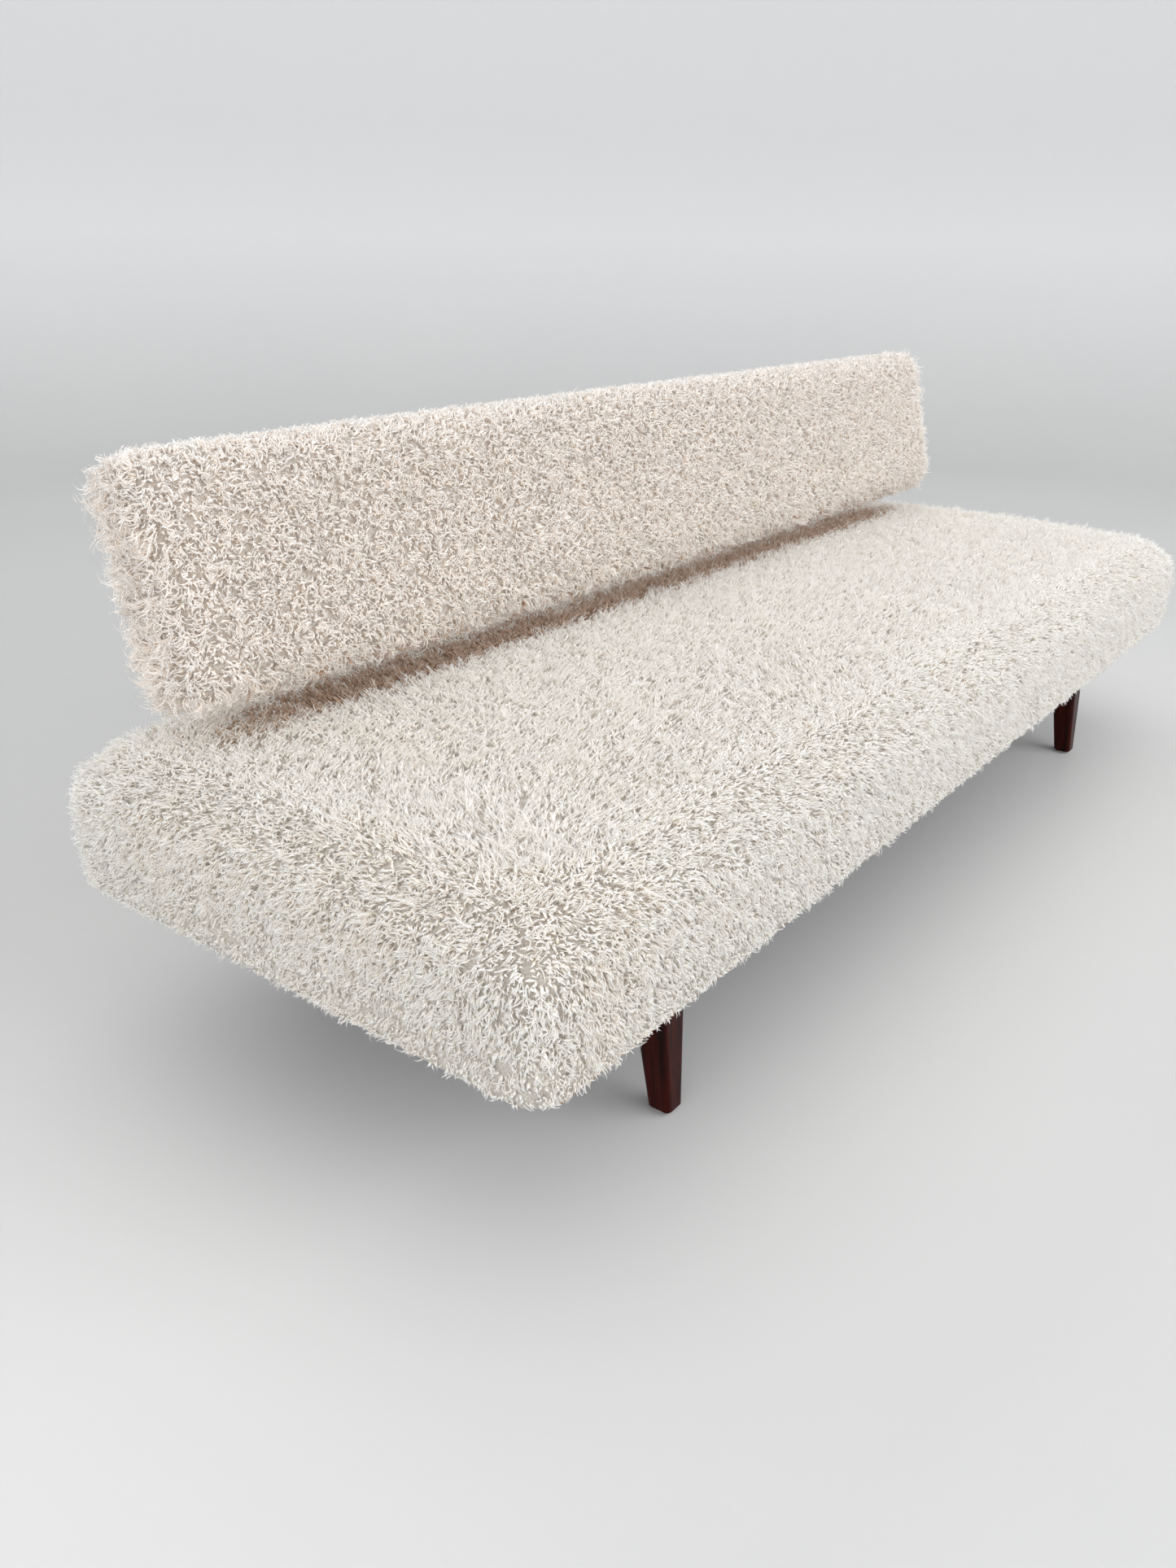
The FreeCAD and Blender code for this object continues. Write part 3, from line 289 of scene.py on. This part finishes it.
def rounded_block(name, half_x, low, high, rounds):
    """A closed block; rounds are the radii of its upright, top and bottom edges."""
    bm = bmesh.new()
    bmesh.ops.create_cube(bm, size=1)
    span = Vector((2 * half_x, high[0] - low[0], high[1] - low[1]))
    centre = Vector((0, (high[0] + low[0]) / 2, (high[1] + low[1]) / 2))
    for vert in bm.verts:
        vert.co = Vector(a * b for a, b in zip(vert.co, span)) + centre
    tests = (
        lambda a, b: abs(a.z - b.z) > 0.01,
        lambda a, b: min(a.z, b.z) > high[1] - 1e-4,
        lambda a, b: max(a.z, b.z) < low[1] + 1e-4,
    )
    for test, radius in zip(tests, rounds):
        edges = [e for e in bm.edges if test(e.verts[0].co, e.verts[1].co)]
        bmesh.ops.bevel(bm, geom=edges, offset=radius, segments=6, profile=0.5,
                        affect="EDGES", clamp_overlap=True)
    mesh = bpy.data.meshes.new(name)
    bm.to_mesh(mesh)
    bm.free()
    return new_object(name, mesh)


def coordinates(mesh):
    flat = np.empty(len(mesh.vertices) * 3, np.float32)
    mesh.vertices.foreach_get("co", flat)
    return flat.reshape(-1, 3).astype(float)


def vertex_normals(mesh):
    flat = np.empty(len(mesh.vertices) * 3, np.float32)
    mesh.vertices.foreach_get("normal", flat)
    return flat.reshape(-1, 3).astype(float)


def set_coordinates(mesh, points):
    mesh.vertices.foreach_set("co", np.ascontiguousarray(points, np.float32).ravel())
    mesh.update()


def settle(obj):
    """Turn an object's modifiers into its own mesh."""
    graph = bpy.context.evaluated_depsgraph_get()
    mesh = bpy.data.meshes.new_from_object(obj.evaluated_get(graph))
    obj.modifiers.clear()
    obj.data = mesh


def crown(obj, top):
    """Raise the upper part of the seat's slab towards its middle."""
    shoulder, deep = 0.26, 0.12
    points = coordinates(obj.data)
    to_end = np.clip(np.abs(points[:, 0]) - (SEAT_HALF_X - shoulder), 0, shoulder) / shoulder
    to_side = np.abs(points[:, 1] - SEAT_MID_Y) / SEAT_HALF_Y
    lift = np.clip((points[:, 2] - top + deep) / deep, 0, 1)
    points[:, 2] += lift * (CROWN_ALONG * (1 - to_end ** 2)
                            + CROWN_ACROSS * (1 - to_side ** 2))
    set_coordinates(obj.data, points)


def puff(obj, voxel, cap):
    """Blow a closed form up a little as cloth, so that its faces swell between its edges. Only
    the outward part of each point's move is kept, up to the cap."""
    remesh = obj.modifiers.new("Remesh", "REMESH")
    remesh.mode = "VOXEL"
    remesh.voxel_size = voxel
    settle(obj)
    before, outward = coordinates(obj.data), vertex_normals(obj.data)
    cloth = obj.modifiers.new("Cloth", "CLOTH")
    cloth.settings.use_pressure = True
    cloth.settings.uniform_pressure_force = CLOTH_PRESSURE
    cloth.settings.effector_weights.gravity = 0
    cloth.settings.quality = 4
    cloth.collision_settings.use_collision = False
    cloth.point_cache.frame_start = 1
    cloth.point_cache.frame_end = CLOTH_FRAMES
    for number in range(1, CLOTH_FRAMES + 1):
        scene.frame_set(number)
    settle(obj)
    scene.frame_set(1)
    step = coordinates(obj.data) - before
    swell = np.clip(np.sum(step * outward, axis=1), 0, cap)
    set_coordinates(obj.data, before + outward * swell[:, None])
    smooth = obj.modifiers.new("Smooth", "SMOOTH")
    smooth.iterations = 2
    subdivide = obj.modifiers.new("Subdivide", "SUBSURF")
    subdivide.levels = 1
    settle(obj)
    obj.data.shade_smooth()


def carve(obj, boxes):
    """Take plain boxes out of a closed form."""
    bm = bmesh.new()
    for low, high in boxes:
        middle = [(a + b) / 2 for a, b in zip(low, high)]
        span = [b - a for a, b in zip(low, high)]
        placed = Matrix.Translation(middle) @ Matrix.Diagonal((*span, 1))
        bmesh.ops.create_cube(bm, size=1, matrix=placed)
    mesh = bpy.data.meshes.new("carver")
    bm.to_mesh(mesh)
    bm.free()
    tool = new_object("carver", mesh)
    cut = obj.modifiers.new("Cut", "BOOLEAN")
    cut.operation = "DIFFERENCE"
    cut.solver = "EXACT"
    cut.object = tool
    settle(obj)
    bpy.data.objects.remove(tool)


# ---------------------------------------------------------------- locks and strands
ROOT_SUNK = 0.002
SEAT_TOP = 0.40  # the height that parts the seat's upper locks from the backrest's
PLAIN_HUES, PAINTED_SHADE_HUE, TAN_HUE = 4, 4, 5  # how many of HUES are plain; the others' places
# The fifth hue, a dark brown, is painted shade for the crease under the backrest and for the
# backrest's underside.
HUES = ((1, 1, 1), (0.98, 0.97, 0.95), (1.0, 0.99, 0.965), (0.955, 0.94, 0.925),
        (0.42, 0.28, 0.20), (0.96, 0.91, 0.84))


def unit(rows):
    return rows / np.maximum(np.linalg.norm(rows, axis=1, keepdims=True), 1e-9)


def spots_on(rng, mesh, count, keep):
    """Random spots on a mesh, evenly by area: places and smooth normals."""
    mesh.calc_loop_triangles()
    corners = np.empty(len(mesh.loop_triangles) * 3, np.int32)
    mesh.loop_triangles.foreach_get("vertices", corners)
    corners = corners.reshape(-1, 3)
    points = coordinates(mesh)
    normals = vertex_normals(mesh)
    a, b, c = (points[corners[:, i]] for i in range(3))
    area = np.linalg.norm(np.cross(b - a, c - a), axis=1)
    total = np.cumsum(area)
    pick = np.searchsorted(total, rng.random(count) * total[-1])
    first, second = rng.random(count), rng.random(count)
    over = first + second > 1
    first[over], second[over] = 1 - first[over], 1 - second[over]
    weights = np.stack([1 - first - second, first, second], axis=1)
    chosen = corners[pick]
    place = np.einsum("ij,ijk->ik", weights, points[chosen])
    normal = unit(np.einsum("ij,ijk->ik", weights, normals[chosen]))
    wanted = keep(place, normal)
    return place[wanted], normal[wanted]


def drift(place, normal, rng, comb, hang, wild):
    """The way that each lock leans: a combed direction that wanders over the surface, outwards
    near the seat's edges, downwards on upright faces, and some chance."""
    x, y, z = place.T
    angle = (comb + 1.1 * np.sin(5.3 * x + 2.0 * y + 0.7) + 0.9 * np.sin(11.0 * y - 4.1 * x)
             + 0.6 * np.sin(17.0 * x + 9.0 * z))
    flow = np.stack([np.cos(angle), np.sin(angle), np.zeros_like(angle)], axis=1)
    near_end = np.clip(1 - (SEAT_HALF_X - np.abs(x)) / 0.12, 0, 1)
    near_side = np.clip(1 - (SEAT_HALF_Y - np.abs(y - SEAT_MID_Y)) / 0.12, 0, 1)
    edge = np.stack([np.sign(x) * near_end, np.sign(y - SEAT_MID_Y) * near_side, 0 * x], axis=1)
    flow = flow * (1 - np.maximum(near_end, near_side))[:, None] + 1.6 * edge
    fall = np.array([0, 0, -1.0])[None, :] * hang
    chance = rng.normal(size=place.shape) * wild
    lean = flow + fall * (1 - np.abs(normal[:, 2:3])) + chance
    lean -= normal * np.sum(lean * normal, axis=1, keepdims=True)
    return unit(lean)


def grow(rng, place, normal, lean, style, longer):
    """Locks of wool: each is a bundle of tapered, three-sided strands that rise from the hide,
    bend over and curl to one side. Returns each strand's points, ring by ring, then its tip."""
    locks = len(place)
    strands = style["strands"]
    rings = style["rings"]
    count = locks * strands
    side = np.cross(normal, lean)

    def own(low, high):
        return np.repeat(rng.uniform(low, high, locks), strands)

    def each(low, high):
        return rng.uniform(low, high, count)

    length = own(*style["length"]) * each(0.8, 1.15) * np.repeat(longer, strands)
    rise = own(*style["rise"]) + each(-0.15, 0.15)
    end = own(*style["end"]) + each(-0.15, 0.15)
    way = np.repeat(np.where(rng.random(locks) < 0.5, -1.0, 1.0), strands)
    turn = way * own(*style["turn"]) + each(-0.25, 0.25)
    heading = each(-style["fan"], style["fan"])
    place, normal, lean, side = (np.repeat(a, strands, axis=0)
                                 for a in (place, normal, lean, side))
    spread = rng.normal(size=(2, count)) * style["spread"]
    offset = lean * spread[0][:, None] + side * spread[1][:, None]
    thick = own(*style["thick"]) * each(0.8, 1.2)
    point = place - normal * ROOT_SUNK
    corners = np.empty((count, rings * 3 + 1, 3), np.float32)
    for ring in range(rings + 1):
        along = ring / rings
        fall = rise * (1 - along) ** style["bend"] + end * along
        course = heading + turn * along ** 1.2
        flat = lean * np.cos(course)[:, None] + side * np.sin(course)[:, None]
        ahead = flat * np.cos(fall)[:, None] + normal * np.sin(fall)[:, None]
        beside = side * np.cos(course)[:, None] - lean * np.sin(course)[:, None]
        above = np.cross(ahead, beside)
        centre = point + offset * (1 - style["gather"] * along)
        if ring == rings:
            corners[:, -1] = centre
            break
        radius = thick * (1 - 0.62 * along ** 1.5) * (0.8 if ring == 0 else 1)
        for corner in range(3):
            around = math.tau * corner / 3 + 0.5
            reach = beside * (1.25 * math.cos(around)) + above * (0.8 * math.sin(around))
            corners[:, ring * 3 + corner] = centre + reach * radius[:, None]
        point = point + ahead * (length / rings)[:, None]
    return corners


def strand_faces(rings):
    """The triangles of one strand and the level of each: 0 root, 1 body, 2 tip."""
    faces, levels = [(2, 1, 0)], [0]
    for ring in range(rings - 1):
        level = 0 if ring == 0 else 1 if ring < rings * 0.5 else 2
        for corner in range(3):
            a, b = ring * 3 + corner, ring * 3 + (corner + 1) % 3
            faces += [(a, b, b + 3), (a, b + 3, a + 3)]
            levels += [level, level]
    last = (rings - 1) * 3
    for corner in range(3):
        faces.append((last + corner, last + (corner + 1) % 3, rings * 3))
        levels.append(2)
    return np.array(faces), np.array(levels)


def fleece_piece(name, corners, rings, hues, materials, body):
    """One mesh piece made of many strands."""
    faces, levels = strand_faces(rings)
    count, each = len(corners), corners.shape[1]
    indices = (faces[None] + (np.arange(count) * each)[:, None, None]).reshape(-1)
    slots = (levels[None] * len(HUES) + hues[:, None]).reshape(-1)
    mesh = bpy.data.meshes.new(name)
    mesh.vertices.add(count * each)
    mesh.vertices.foreach_set("co", corners.ravel())
    total = count * len(faces)
    mesh.loops.add(total * 3)
    mesh.loops.foreach_set("vertex_index", indices.astype(np.int32))
    mesh.polygons.add(total)
    mesh.polygons.foreach_set("loop_start", np.arange(0, total * 3, 3, dtype=np.int32))
    mesh.polygons.foreach_set("material_index", slots.astype(np.int32))
    mesh.polygons.foreach_set("use_smooth", np.ones(total, bool))
    for material in materials:
        mesh.materials.append(material)
    mesh.update(calc_edges=True)
    made = new_object(name, mesh)
    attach(made, body)
    return made


def painted_shade_chance(place, normal):
    """The chance that a lock takes the dark brown of painted shade: it rises in the crease between
    seat and backrest, and a little on the backrest's underside.
    """
    x, y, z = place.T
    on_seat = z < SEAT_TOP
    inward = np.clip((BACK_HALF_X - 0.02 - np.abs(x)) / 0.15, 0, 1)
    back = y - SEAT_MID_Y
    # painted shade: brown locks on the seat in the crease under the backrest
    crease_painted_shade = (np.clip((back - 0.157) / 0.03, 0, 1) * np.clip((0.29 - back) / 0.08, 0, 1)
              * np.clip(normal[:, 2], 0, 1))
    # painted shade: some brown locks where the backrest's faces look down
    below = 0.25 * np.clip((-normal[:, 2] - 0.5) / 0.4, 0, 1)
    return inward * np.where(on_seat, crease_painted_shade, below)


def tanned(place):
    """The chance that a lock is tan: clumps near the seat's ends, few elsewhere."""
    x, y, z = place.T
    clumps = (np.sin(31.0 * x + 9.0 * y) + np.sin(23.0 * y - 17.0 * x + 1.3)
              + np.sin(41.0 * z + 12.0 * x + 5.0 * y))
    near_end = np.clip((np.abs(x) - 0.62) / 0.25, 0, 1)
    return (0.08 + 0.3 * near_end * (z < SEAT_TOP)) * np.clip(0.5 + 0.5 * clumps, 0, 1)


def fleece(prefix, seed, panels, mesh, density, style, rules, materials, body):
    """Cover a mesh in locks, in several panels along X. The density is in strands per square
    metre of the whole mesh, and the rules say where locks grow, how they lean and how long."""
    rng = np.random.default_rng(seed)
    keep, lean_rule, longer_rule = rules
    area = sum(face.area for face in mesh.polygons)
    locks = int(area * density / style["strands"])
    place, normal = spots_on(rng, mesh, locks, keep)
    lean = lean_rule(place, normal, rng)
    corners = grow(rng, place, normal, lean, style, longer_rule(place, normal))
    strands = style["strands"]
    hue_of_lock = rng.integers(0, PLAIN_HUES, len(place))
    other = rng.integers(0, PLAIN_HUES, len(corners))
    hues = np.where(rng.random(len(corners)) < 0.7, np.repeat(hue_of_lock, strands), other)
    # painted shade: locks in the crease and under the backrest take the brown hue
    deep = np.repeat(painted_shade_chance(place, normal) > rng.random(len(place)), strands)
    hues[deep] = PAINTED_SHADE_HUE
    tan = np.repeat(tanned(place) > rng.random(len(place)), strands)
    hues[tan & ~deep] = TAN_HUE
    order = np.argsort(np.repeat(place[:, 0], strands), kind="stable")
    for number, part in enumerate(np.array_split(order, panels)):
        fleece_piece(f"{prefix}_{number + 1:02d}", corners[part], style["rings"], hues[part],
                     materials, body)


# ---------------------------------------------------------------- camera, light and studio
def camera():
    """The photographer's view: from the left end, above the seat, looking down."""
    turn, dip, roll = map(math.radians, (CAMERA_TURN, CAMERA_DIP, CAMERA_ROLL))
    ahead = Vector((math.sin(turn) * math.cos(dip), math.cos(turn) * math.cos(dip), -math.sin(dip)))
    level = ahead.cross(Vector((0, 0, 1))).normalized()
    upright = level.cross(ahead)
    right = math.cos(roll) * level + math.sin(roll) * upright
    up = math.cos(roll) * upright - math.sin(roll) * level
    data = bpy.data.cameras.new("camera")
    data.sensor_width = SENSOR
    data.lens = LENS
    data.clip_start, data.clip_end = 0.02, 100
    made = new_object("camera", data)
    turned = Matrix((right, up, -ahead)).transposed().to_4x4()
    made.matrix_world = Matrix.Translation(CAMERA_PLACE) @ turned
    scene.camera = made


def studio_paint():
    """Pale floor with faint specks, lighter up the wall, and lighter in an oval below the daybed: a
    painted pool of light that lifts the shadow there.
    """
    made = Nodes("studio_floor", 0.55)
    clouds = made.noise(1.3, 5, 0.55)
    specks = made.noise(55, 6, 0.7)
    ground = made.ramp(clouds, ((0.3, (0.52, 0.525, 0.525)), (0.7, (0.54, 0.545, 0.54))))
    # painted light: the floor is lighter in an oval below the daybed, lifting its shadow
    reach = made.add("VectorMath", operation="LENGTH")
    made.join(made.stretch((0.45, 1.3, 0)), reach.inputs[0])
    near = made.add("MapRange")
    near.inputs["From Min"].default_value = 0.95
    near.inputs["From Max"].default_value = 0.35
    made.join(reach.outputs["Value"], near.inputs["Value"])
    ground = made.mix(near.outputs["Result"], ground, (0.65, 0.65, 0.65, 1))
    height = made.add("SeparateXYZ")
    made.join(made.place, height.inputs["Vector"])
    rising = made.ramp(height.outputs["Z"], ((0.02, (0, 0, 0)), (0.9, (1, 1, 1))))
    base = made.mix(rising, ground, (0.725, 0.73, 0.74, 1))
    dust = made.ramp(specks, ((0.24, (0.8, 0.8, 0.79)), (0.33, (1, 1, 1))))
    made.colour(made.mix(0.6, base, dust, "MULTIPLY"))
    return made.material


def studio():
    """A pale floor that sweeps up into a round wall far outside the daybed."""
    profile = [(0.0, 0.0), (1.5, 0.0), (FLAT_FLOOR, 0.0)]
    for step in range(1, 13):
        turn = math.radians(7.5 * step)
        profile.append((FLAT_FLOOR + SWEEP * math.sin(turn), SWEEP - SWEEP * math.cos(turn)))
    profile.append((FLAT_FLOOR + SWEEP, WALL_TOP))
    bm = bmesh.new()
    rows = []
    for radius, height in profile:
        if radius == 0:
            rows.append([bm.verts.new((0, 0, height))])
            continue
        rows.append([bm.verts.new((radius * math.cos(math.tau * i / AROUND),
                                   radius * math.sin(math.tau * i / AROUND), height))
                     for i in range(AROUND)])
    for low, high in zip(rows, rows[1:]):
        for i in range(AROUND):
            j = (i + 1) % AROUND
            if len(low) == 1:
                bm.faces.new((low[0], high[i], high[j]))
            else:
                bm.faces.new((low[i], high[i], high[j], low[j]))
    for face in bm.faces:
        face.smooth = True
    bmesh.ops.recalc_face_normals(bm, faces=bm.faces)
    mesh = bpy.data.meshes.new("studio_floor")
    bm.to_mesh(mesh)
    bm.free()
    made = new_object("studio_floor", mesh)
    mesh.materials.append(studio_paint())


def lamp(name, place, target, wide, high, power, colour):
    data = bpy.data.lights.new(name, "AREA")
    data.shape = "ELLIPSE"
    data.size = wide
    data.size_y = high
    data.energy = power
    data.color = colour
    made = new_object(name, data)
    made.location = place
    direction = Vector(target) - Vector(place)
    made.rotation_euler = direction.to_track_quat("-Z", "Y").to_euler()


def light():
    world = bpy.data.worlds.new("world")
    scene.world = world
    world.use_nodes = True
    background = world.node_tree.nodes["Background"]
    background.inputs["Color"].default_value = (1.0, 1.0, 1.0, 1)
    background.inputs["Strength"].default_value = 1.16
    lamp("key", (0.75, -3.4, 2.1), (0, -0.1, 0.25), 4.2, 1.8, 70, (1.0, 0.998, 0.992))
    lamp("fill", (-3.0, -0.7, 1.3), (-0.3, 0.1, 0.25), 2.6, 1.6, 26, (1.0, 1.0, 1.0))
    scene.view_settings.view_transform = "Standard"
    scene.view_settings.look = "None"
    scene.cycles.max_bounces = 12
    scene.cycles.diffuse_bounces = 10


# ---------------------------------------------------------------- the soft pieces
def seat_pelt():
    """The seat's padded form under its fleece: crowned, swollen between its edges, open below
    where the dust cloth shows, and notched round the two hinge arms."""
    low = (SEAT_MID_Y - SEAT_HALF_Y, SEAT_BOTTOM)
    high = (SEAT_MID_Y + SEAT_HALF_Y, SEAT_EDGE_TOP - 0.004)
    made = rounded_block("seat_pelt", SEAT_HALF_X, low, high, (0.036, 0.030, 0.008))
    remesh = made.modifiers.new("Remesh", "REMESH")
    remesh.mode = "VOXEL"
    remesh.voxel_size = SEAT_VOXEL
    settle(made)
    crown(made, high[1])
    puff(made, SEAT_VOXEL, SEAT_SWELL_CAP)
    frame_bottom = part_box("seat_rail_front")[0].z
    recess = ((CLOTH_LOW.x - 0.001, CLOTH_LOW.y - 0.001, 0.10),
              (CLOTH_HIGH.x + 0.001, CLOTH_HIGH.y + 0.001, frame_bottom + 0.006))
    notches = [((sign * ARM_X - NOTCH_HALF, RAIL_FACE - 0.0005, 0.10),
                (sign * ARM_X + NOTCH_HALF, 0.5, 0.6)) for sign in (-1, 1)]
    carve(made, [recess, *notches])
    made.data.materials.append(hide("seat_hide", (0.76, 0.70, 0.62), (0.91, 0.875, 0.82)))
    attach(made, "base")
    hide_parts("seat_cover", "seat_foam")
    return made


def back_pelt():
    """The backrest's padded form under its fleece."""
    made = rounded_block("back_pelt", BACK_HALF_X - 0.003, (FUR_DEEP + 0.004, FUR_DEEP - 0.001),
                         (BACK_THICK - FUR_DEEP, BACK_HIGH - FUR_DEEP + 0.001),
                         (0.020, 0.022, 0.022))
    made.data.transform(BACK_TO_ROW)
    puff(made, BACK_VOXEL, BACK_SWELL_CAP)
    made.data.materials.append(hide("back_hide", (0.79, 0.70, 0.61), (0.94, 0.88, 0.82)))
    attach(made, "backrest")
    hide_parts("back_cover", "back_foam", "back_pad")
    return made


def dust_cloth():
    """The black cloth under the seat, sagging a little between its tacks."""
    steps_x, steps_y = 96, 34
    windows = [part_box(f"leg_plate_{end}_{side}") for end in ("front", "rear")
               for side in ("left", "right")]
    bm = bmesh.new()
    rows = []
    top = CLOTH_HIGH.z - 0.0006
    for i in range(steps_x + 1):
        x = CLOTH_LOW.x + (CLOTH_HIGH.x - CLOTH_LOW.x) * i / steps_x
        row = []
        for j in range(steps_y + 1):
            y = CLOTH_LOW.y + (CLOTH_HIGH.y - CLOTH_LOW.y) * j / steps_y
            edge_x = min(1, (CLOTH_HIGH.x - 0.013 - abs(x)) / 0.25)
            edge_y = min(1, (SEAT_HALF_Y - 0.034 - abs(y - SEAT_MID_Y)) / 0.2)
            sag = 0.006 * max(0, edge_x) ** 0.6 * max(0, edge_y) ** 0.6
            near = min((Vector((x, y)) - ((a + b) / 2).xy).length for a, b in windows)
            sag *= min(1, max(0, near - 0.05) / 0.12)
            row.append(bm.verts.new((x, y, top - sag)))
        rows.append(row)
    for a, b in zip(rows, rows[1:]):
        for j in range(steps_y):
            quad = (a[j], b[j], b[j + 1], a[j + 1])
            middle = sum((v.co for v in quad), Vector()) / 4
            inside = any(low.x - 0.004 < middle.x < high.x + 0.004
                         and low.y - 0.004 < middle.y < high.y + 0.004 for low, high in windows)
            if not inside:
                bm.faces.new(quad)
    for vert in [v for v in bm.verts if not v.link_faces]:
        bm.verts.remove(vert)
    for face in bm.faces:
        face.smooth = True
    mesh = bpy.data.meshes.new("dust_cloth")
    bm.to_mesh(mesh)
    bm.free()
    made = new_object("dust_cloth", mesh)
    solid = made.modifiers.new("Thickness", "SOLIDIFY")
    solid.thickness = 0.0006
    settle(made)
    made.data.materials.append(
        woven("dust_cloth", (0.012, 0.012, 0.014), (0.03, 0.03, 0.033), 0.0016))
    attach(made, "base")
    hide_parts("dust_cover")


# ---------------------------------------------------------------- the fleece
SEAT_STYLE = {"strands": 4, "rings": 4, "length": (0.016, 0.025), "rise": (1.0, 1.4),
              "end": (0.1, 0.6), "turn": (0.2, 2.2), "thick": (0.00052, 0.00080),
              "spread": 0.0042, "gather": 0.7, "bend": 1.2, "fan": 0.8}
BACK_STYLE = {"strands": 3, "rings": 4, "length": (0.013, 0.020), "rise": (1.3, 1.55),
              "end": (-0.1, 0.3), "turn": (2.2, 4.2), "thick": (0.0007, 0.0010),
              "spread": 0.0018, "gather": 0.2, "bend": 1.6, "fan": 0.5}
UNDER_STYLE = {"strands": 1, "rings": 2, "length": (0.011, 0.016), "rise": (0.9, 1.4),
               "end": (0.0, 0.5), "turn": (0.8, 3.0), "thick": (0.0013, 0.0019),
               "spread": 0.001, "gather": 0.2, "bend": 1.2, "fan": 0.4}


def seat_longer(place, normal):
    """Shorter locks low on the seat's sides."""
    return 1 - 0.4 * np.clip((0.29 - place[:, 2]) / 0.08, 0, 1)


def back_longer(place, normal):
    """Longer locks on the backrest's two ends and on its underside."""
    at_end = np.clip((np.abs(normal[:, 0]) - 0.3) / 0.5, 0, 1)
    under = np.clip((-normal[:, 2] - 0.3) / 0.5, 0, 1)
    return 1 + 0.8 * at_end + 0.5 * under


def seat_keep(place, normal):
    """No fleece under the seat, inside its recess or in the notches."""
    in_notch = ((np.abs(np.abs(place[:, 0]) - ARM_X) < NOTCH_HALF + 0.008)
                & (place[:, 1] > RAIL_FACE - 0.02))
    low = (normal[:, 2] < -0.45) | (place[:, 2] < SEAT_BOTTOM + 0.002)
    inner = ((np.abs(place[:, 0]) < CLOTH_HIGH.x + 0.003)
             & (np.abs(place[:, 1] - SEAT_MID_Y) < (CLOTH_HIGH.y - CLOTH_LOW.y) / 2 + 0.003)
             & (place[:, 2] < 0.25))
    return ~(in_notch | low | inner)


def edge_keep(place, normal):
    """A band on both sides of the seat's upper rim, where parted locks would bare the hide."""
    inside_x = SEAT_HALF_X - np.abs(place[:, 0])
    inside_y = SEAT_HALF_Y - np.abs(place[:, 1] - SEAT_MID_Y)
    near_rim = (np.minimum(inside_x, inside_y) < RIM_BAND) & (place[:, 2] > 0.24)
    return seat_keep(place, normal) & near_rim


def seat_lean(place, normal, rng):
    """The seat's locks are combed towards the front, and wander."""
    return drift(place, normal, rng, -1.2, 0.8, 0.85)


def back_keep(place, normal):
    """Fleece all over the backrest."""
    return np.ones(len(place), bool)


def back_lean(place, normal, rng):
    """Locks curl every way, a little more often downwards."""
    lean = rng.normal(size=place.shape) + np.array([0.0, 0.0, -0.3])
    return unit(lean - normal * np.sum(lean * normal, axis=1, keepdims=True))


def materials():
    """Every shown CAD node's own finish."""
    rosewood = wood("rosewood", (0.004, 0.0005, 0.0003), (0.070, 0.006, 0.002), 2, 0.28, 0.1)
    beech_x = wood("beech_rail", (0.42, 0.27, 0.15), (0.66, 0.48, 0.31), 0, 0.5)
    beech_y = wood("beech_end", (0.42, 0.27, 0.15), (0.66, 0.48, 0.31), 1, 0.5)
    beech_z = wood("beech_post", (0.42, 0.27, 0.15), (0.66, 0.48, 0.31), 2, 0.5)
    plywood = wood("plywood", (0.50, 0.36, 0.20), (0.70, 0.54, 0.34), 0, 0.6)
    black = metal("black_steel", (0.018, 0.018, 0.019), 0.0, 0.38, 0.05)
    zinc = metal("zinc_steel", (0.58, 0.58, 0.56), 0.9, 0.36, 0.12)
    blued = metal("blued_steel", (0.10, 0.11, 0.14), 0.8, 0.35, 0.12)
    nylon = plastic("nylon", (0.74, 0.72, 0.68), 0.45)
    fibre = plastic("fibre", (0.30, 0.13, 0.07), 0.8)
    strap = woven("webbing", (0.36, 0.26, 0.15), (0.60, 0.48, 0.32), 0.003)
    by_slot = {"rosewood": rosewood, "plywood": plywood, "black_steel": black, "zinc_steel": zinc,
               "blued_tack_steel": blued, "nylon": nylon, "fibre": fibre, "webbing": strap}
    for part in frame["record"]["subparts"]:
        node, slot = part["node"], part["material_slot"]
        if slot == "beech":
            low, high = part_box(node)
            spans = list(high - low)
            paint(node, (beech_x, beech_y, beech_z)[spans.index(max(spans))])
        elif slot in by_slot:
            paint(node, by_slot[slot])


camera()
studio()
light()
materials()
seat = seat_pelt()
back = back_pelt()
dust_cloth()
seat_fur = lock_colours("seat_lock", (0.83, 0.78, 0.71), (0.872, 0.838, 0.786),
                        (0.893, 0.869, 0.826), HUES)
back_fur = lock_colours("back_lock", (0.90, 0.815, 0.74), (0.935, 0.865, 0.80),
                        (0.955, 0.895, 0.84), HUES)
seat_rules = (seat_keep, seat_lean, seat_longer)
rim_rules = (edge_keep, seat_lean, seat_longer)
back_rules = (back_keep, back_lean, back_longer)
back_under_rules = (back_keep, back_lean, seat_longer)
for prefix, seed, panels, mesh, density, style, rules, fur, body in (
        ("seat_fleece", 11, 12, seat.data, 37500, SEAT_STYLE, seat_rules, seat_fur, "base"),
        ("seat_underfleece", 13, 6, seat.data, 44000, UNDER_STYLE, seat_rules, seat_fur, "base"),
        ("rim_underfleece", 15, 2, seat.data, 30000, UNDER_STYLE, rim_rules, seat_fur, "base"),
        ("back_fleece", 12, 10, back.data, 50000, BACK_STYLE, back_rules, back_fur, "backrest"),
        ("back_underfleece", 14, 4, back.data, 42000, UNDER_STYLE, back_under_rules, back_fur,
         "backrest")):
    fleece(prefix, seed, panels, mesh, density, style, rules, fur, body)
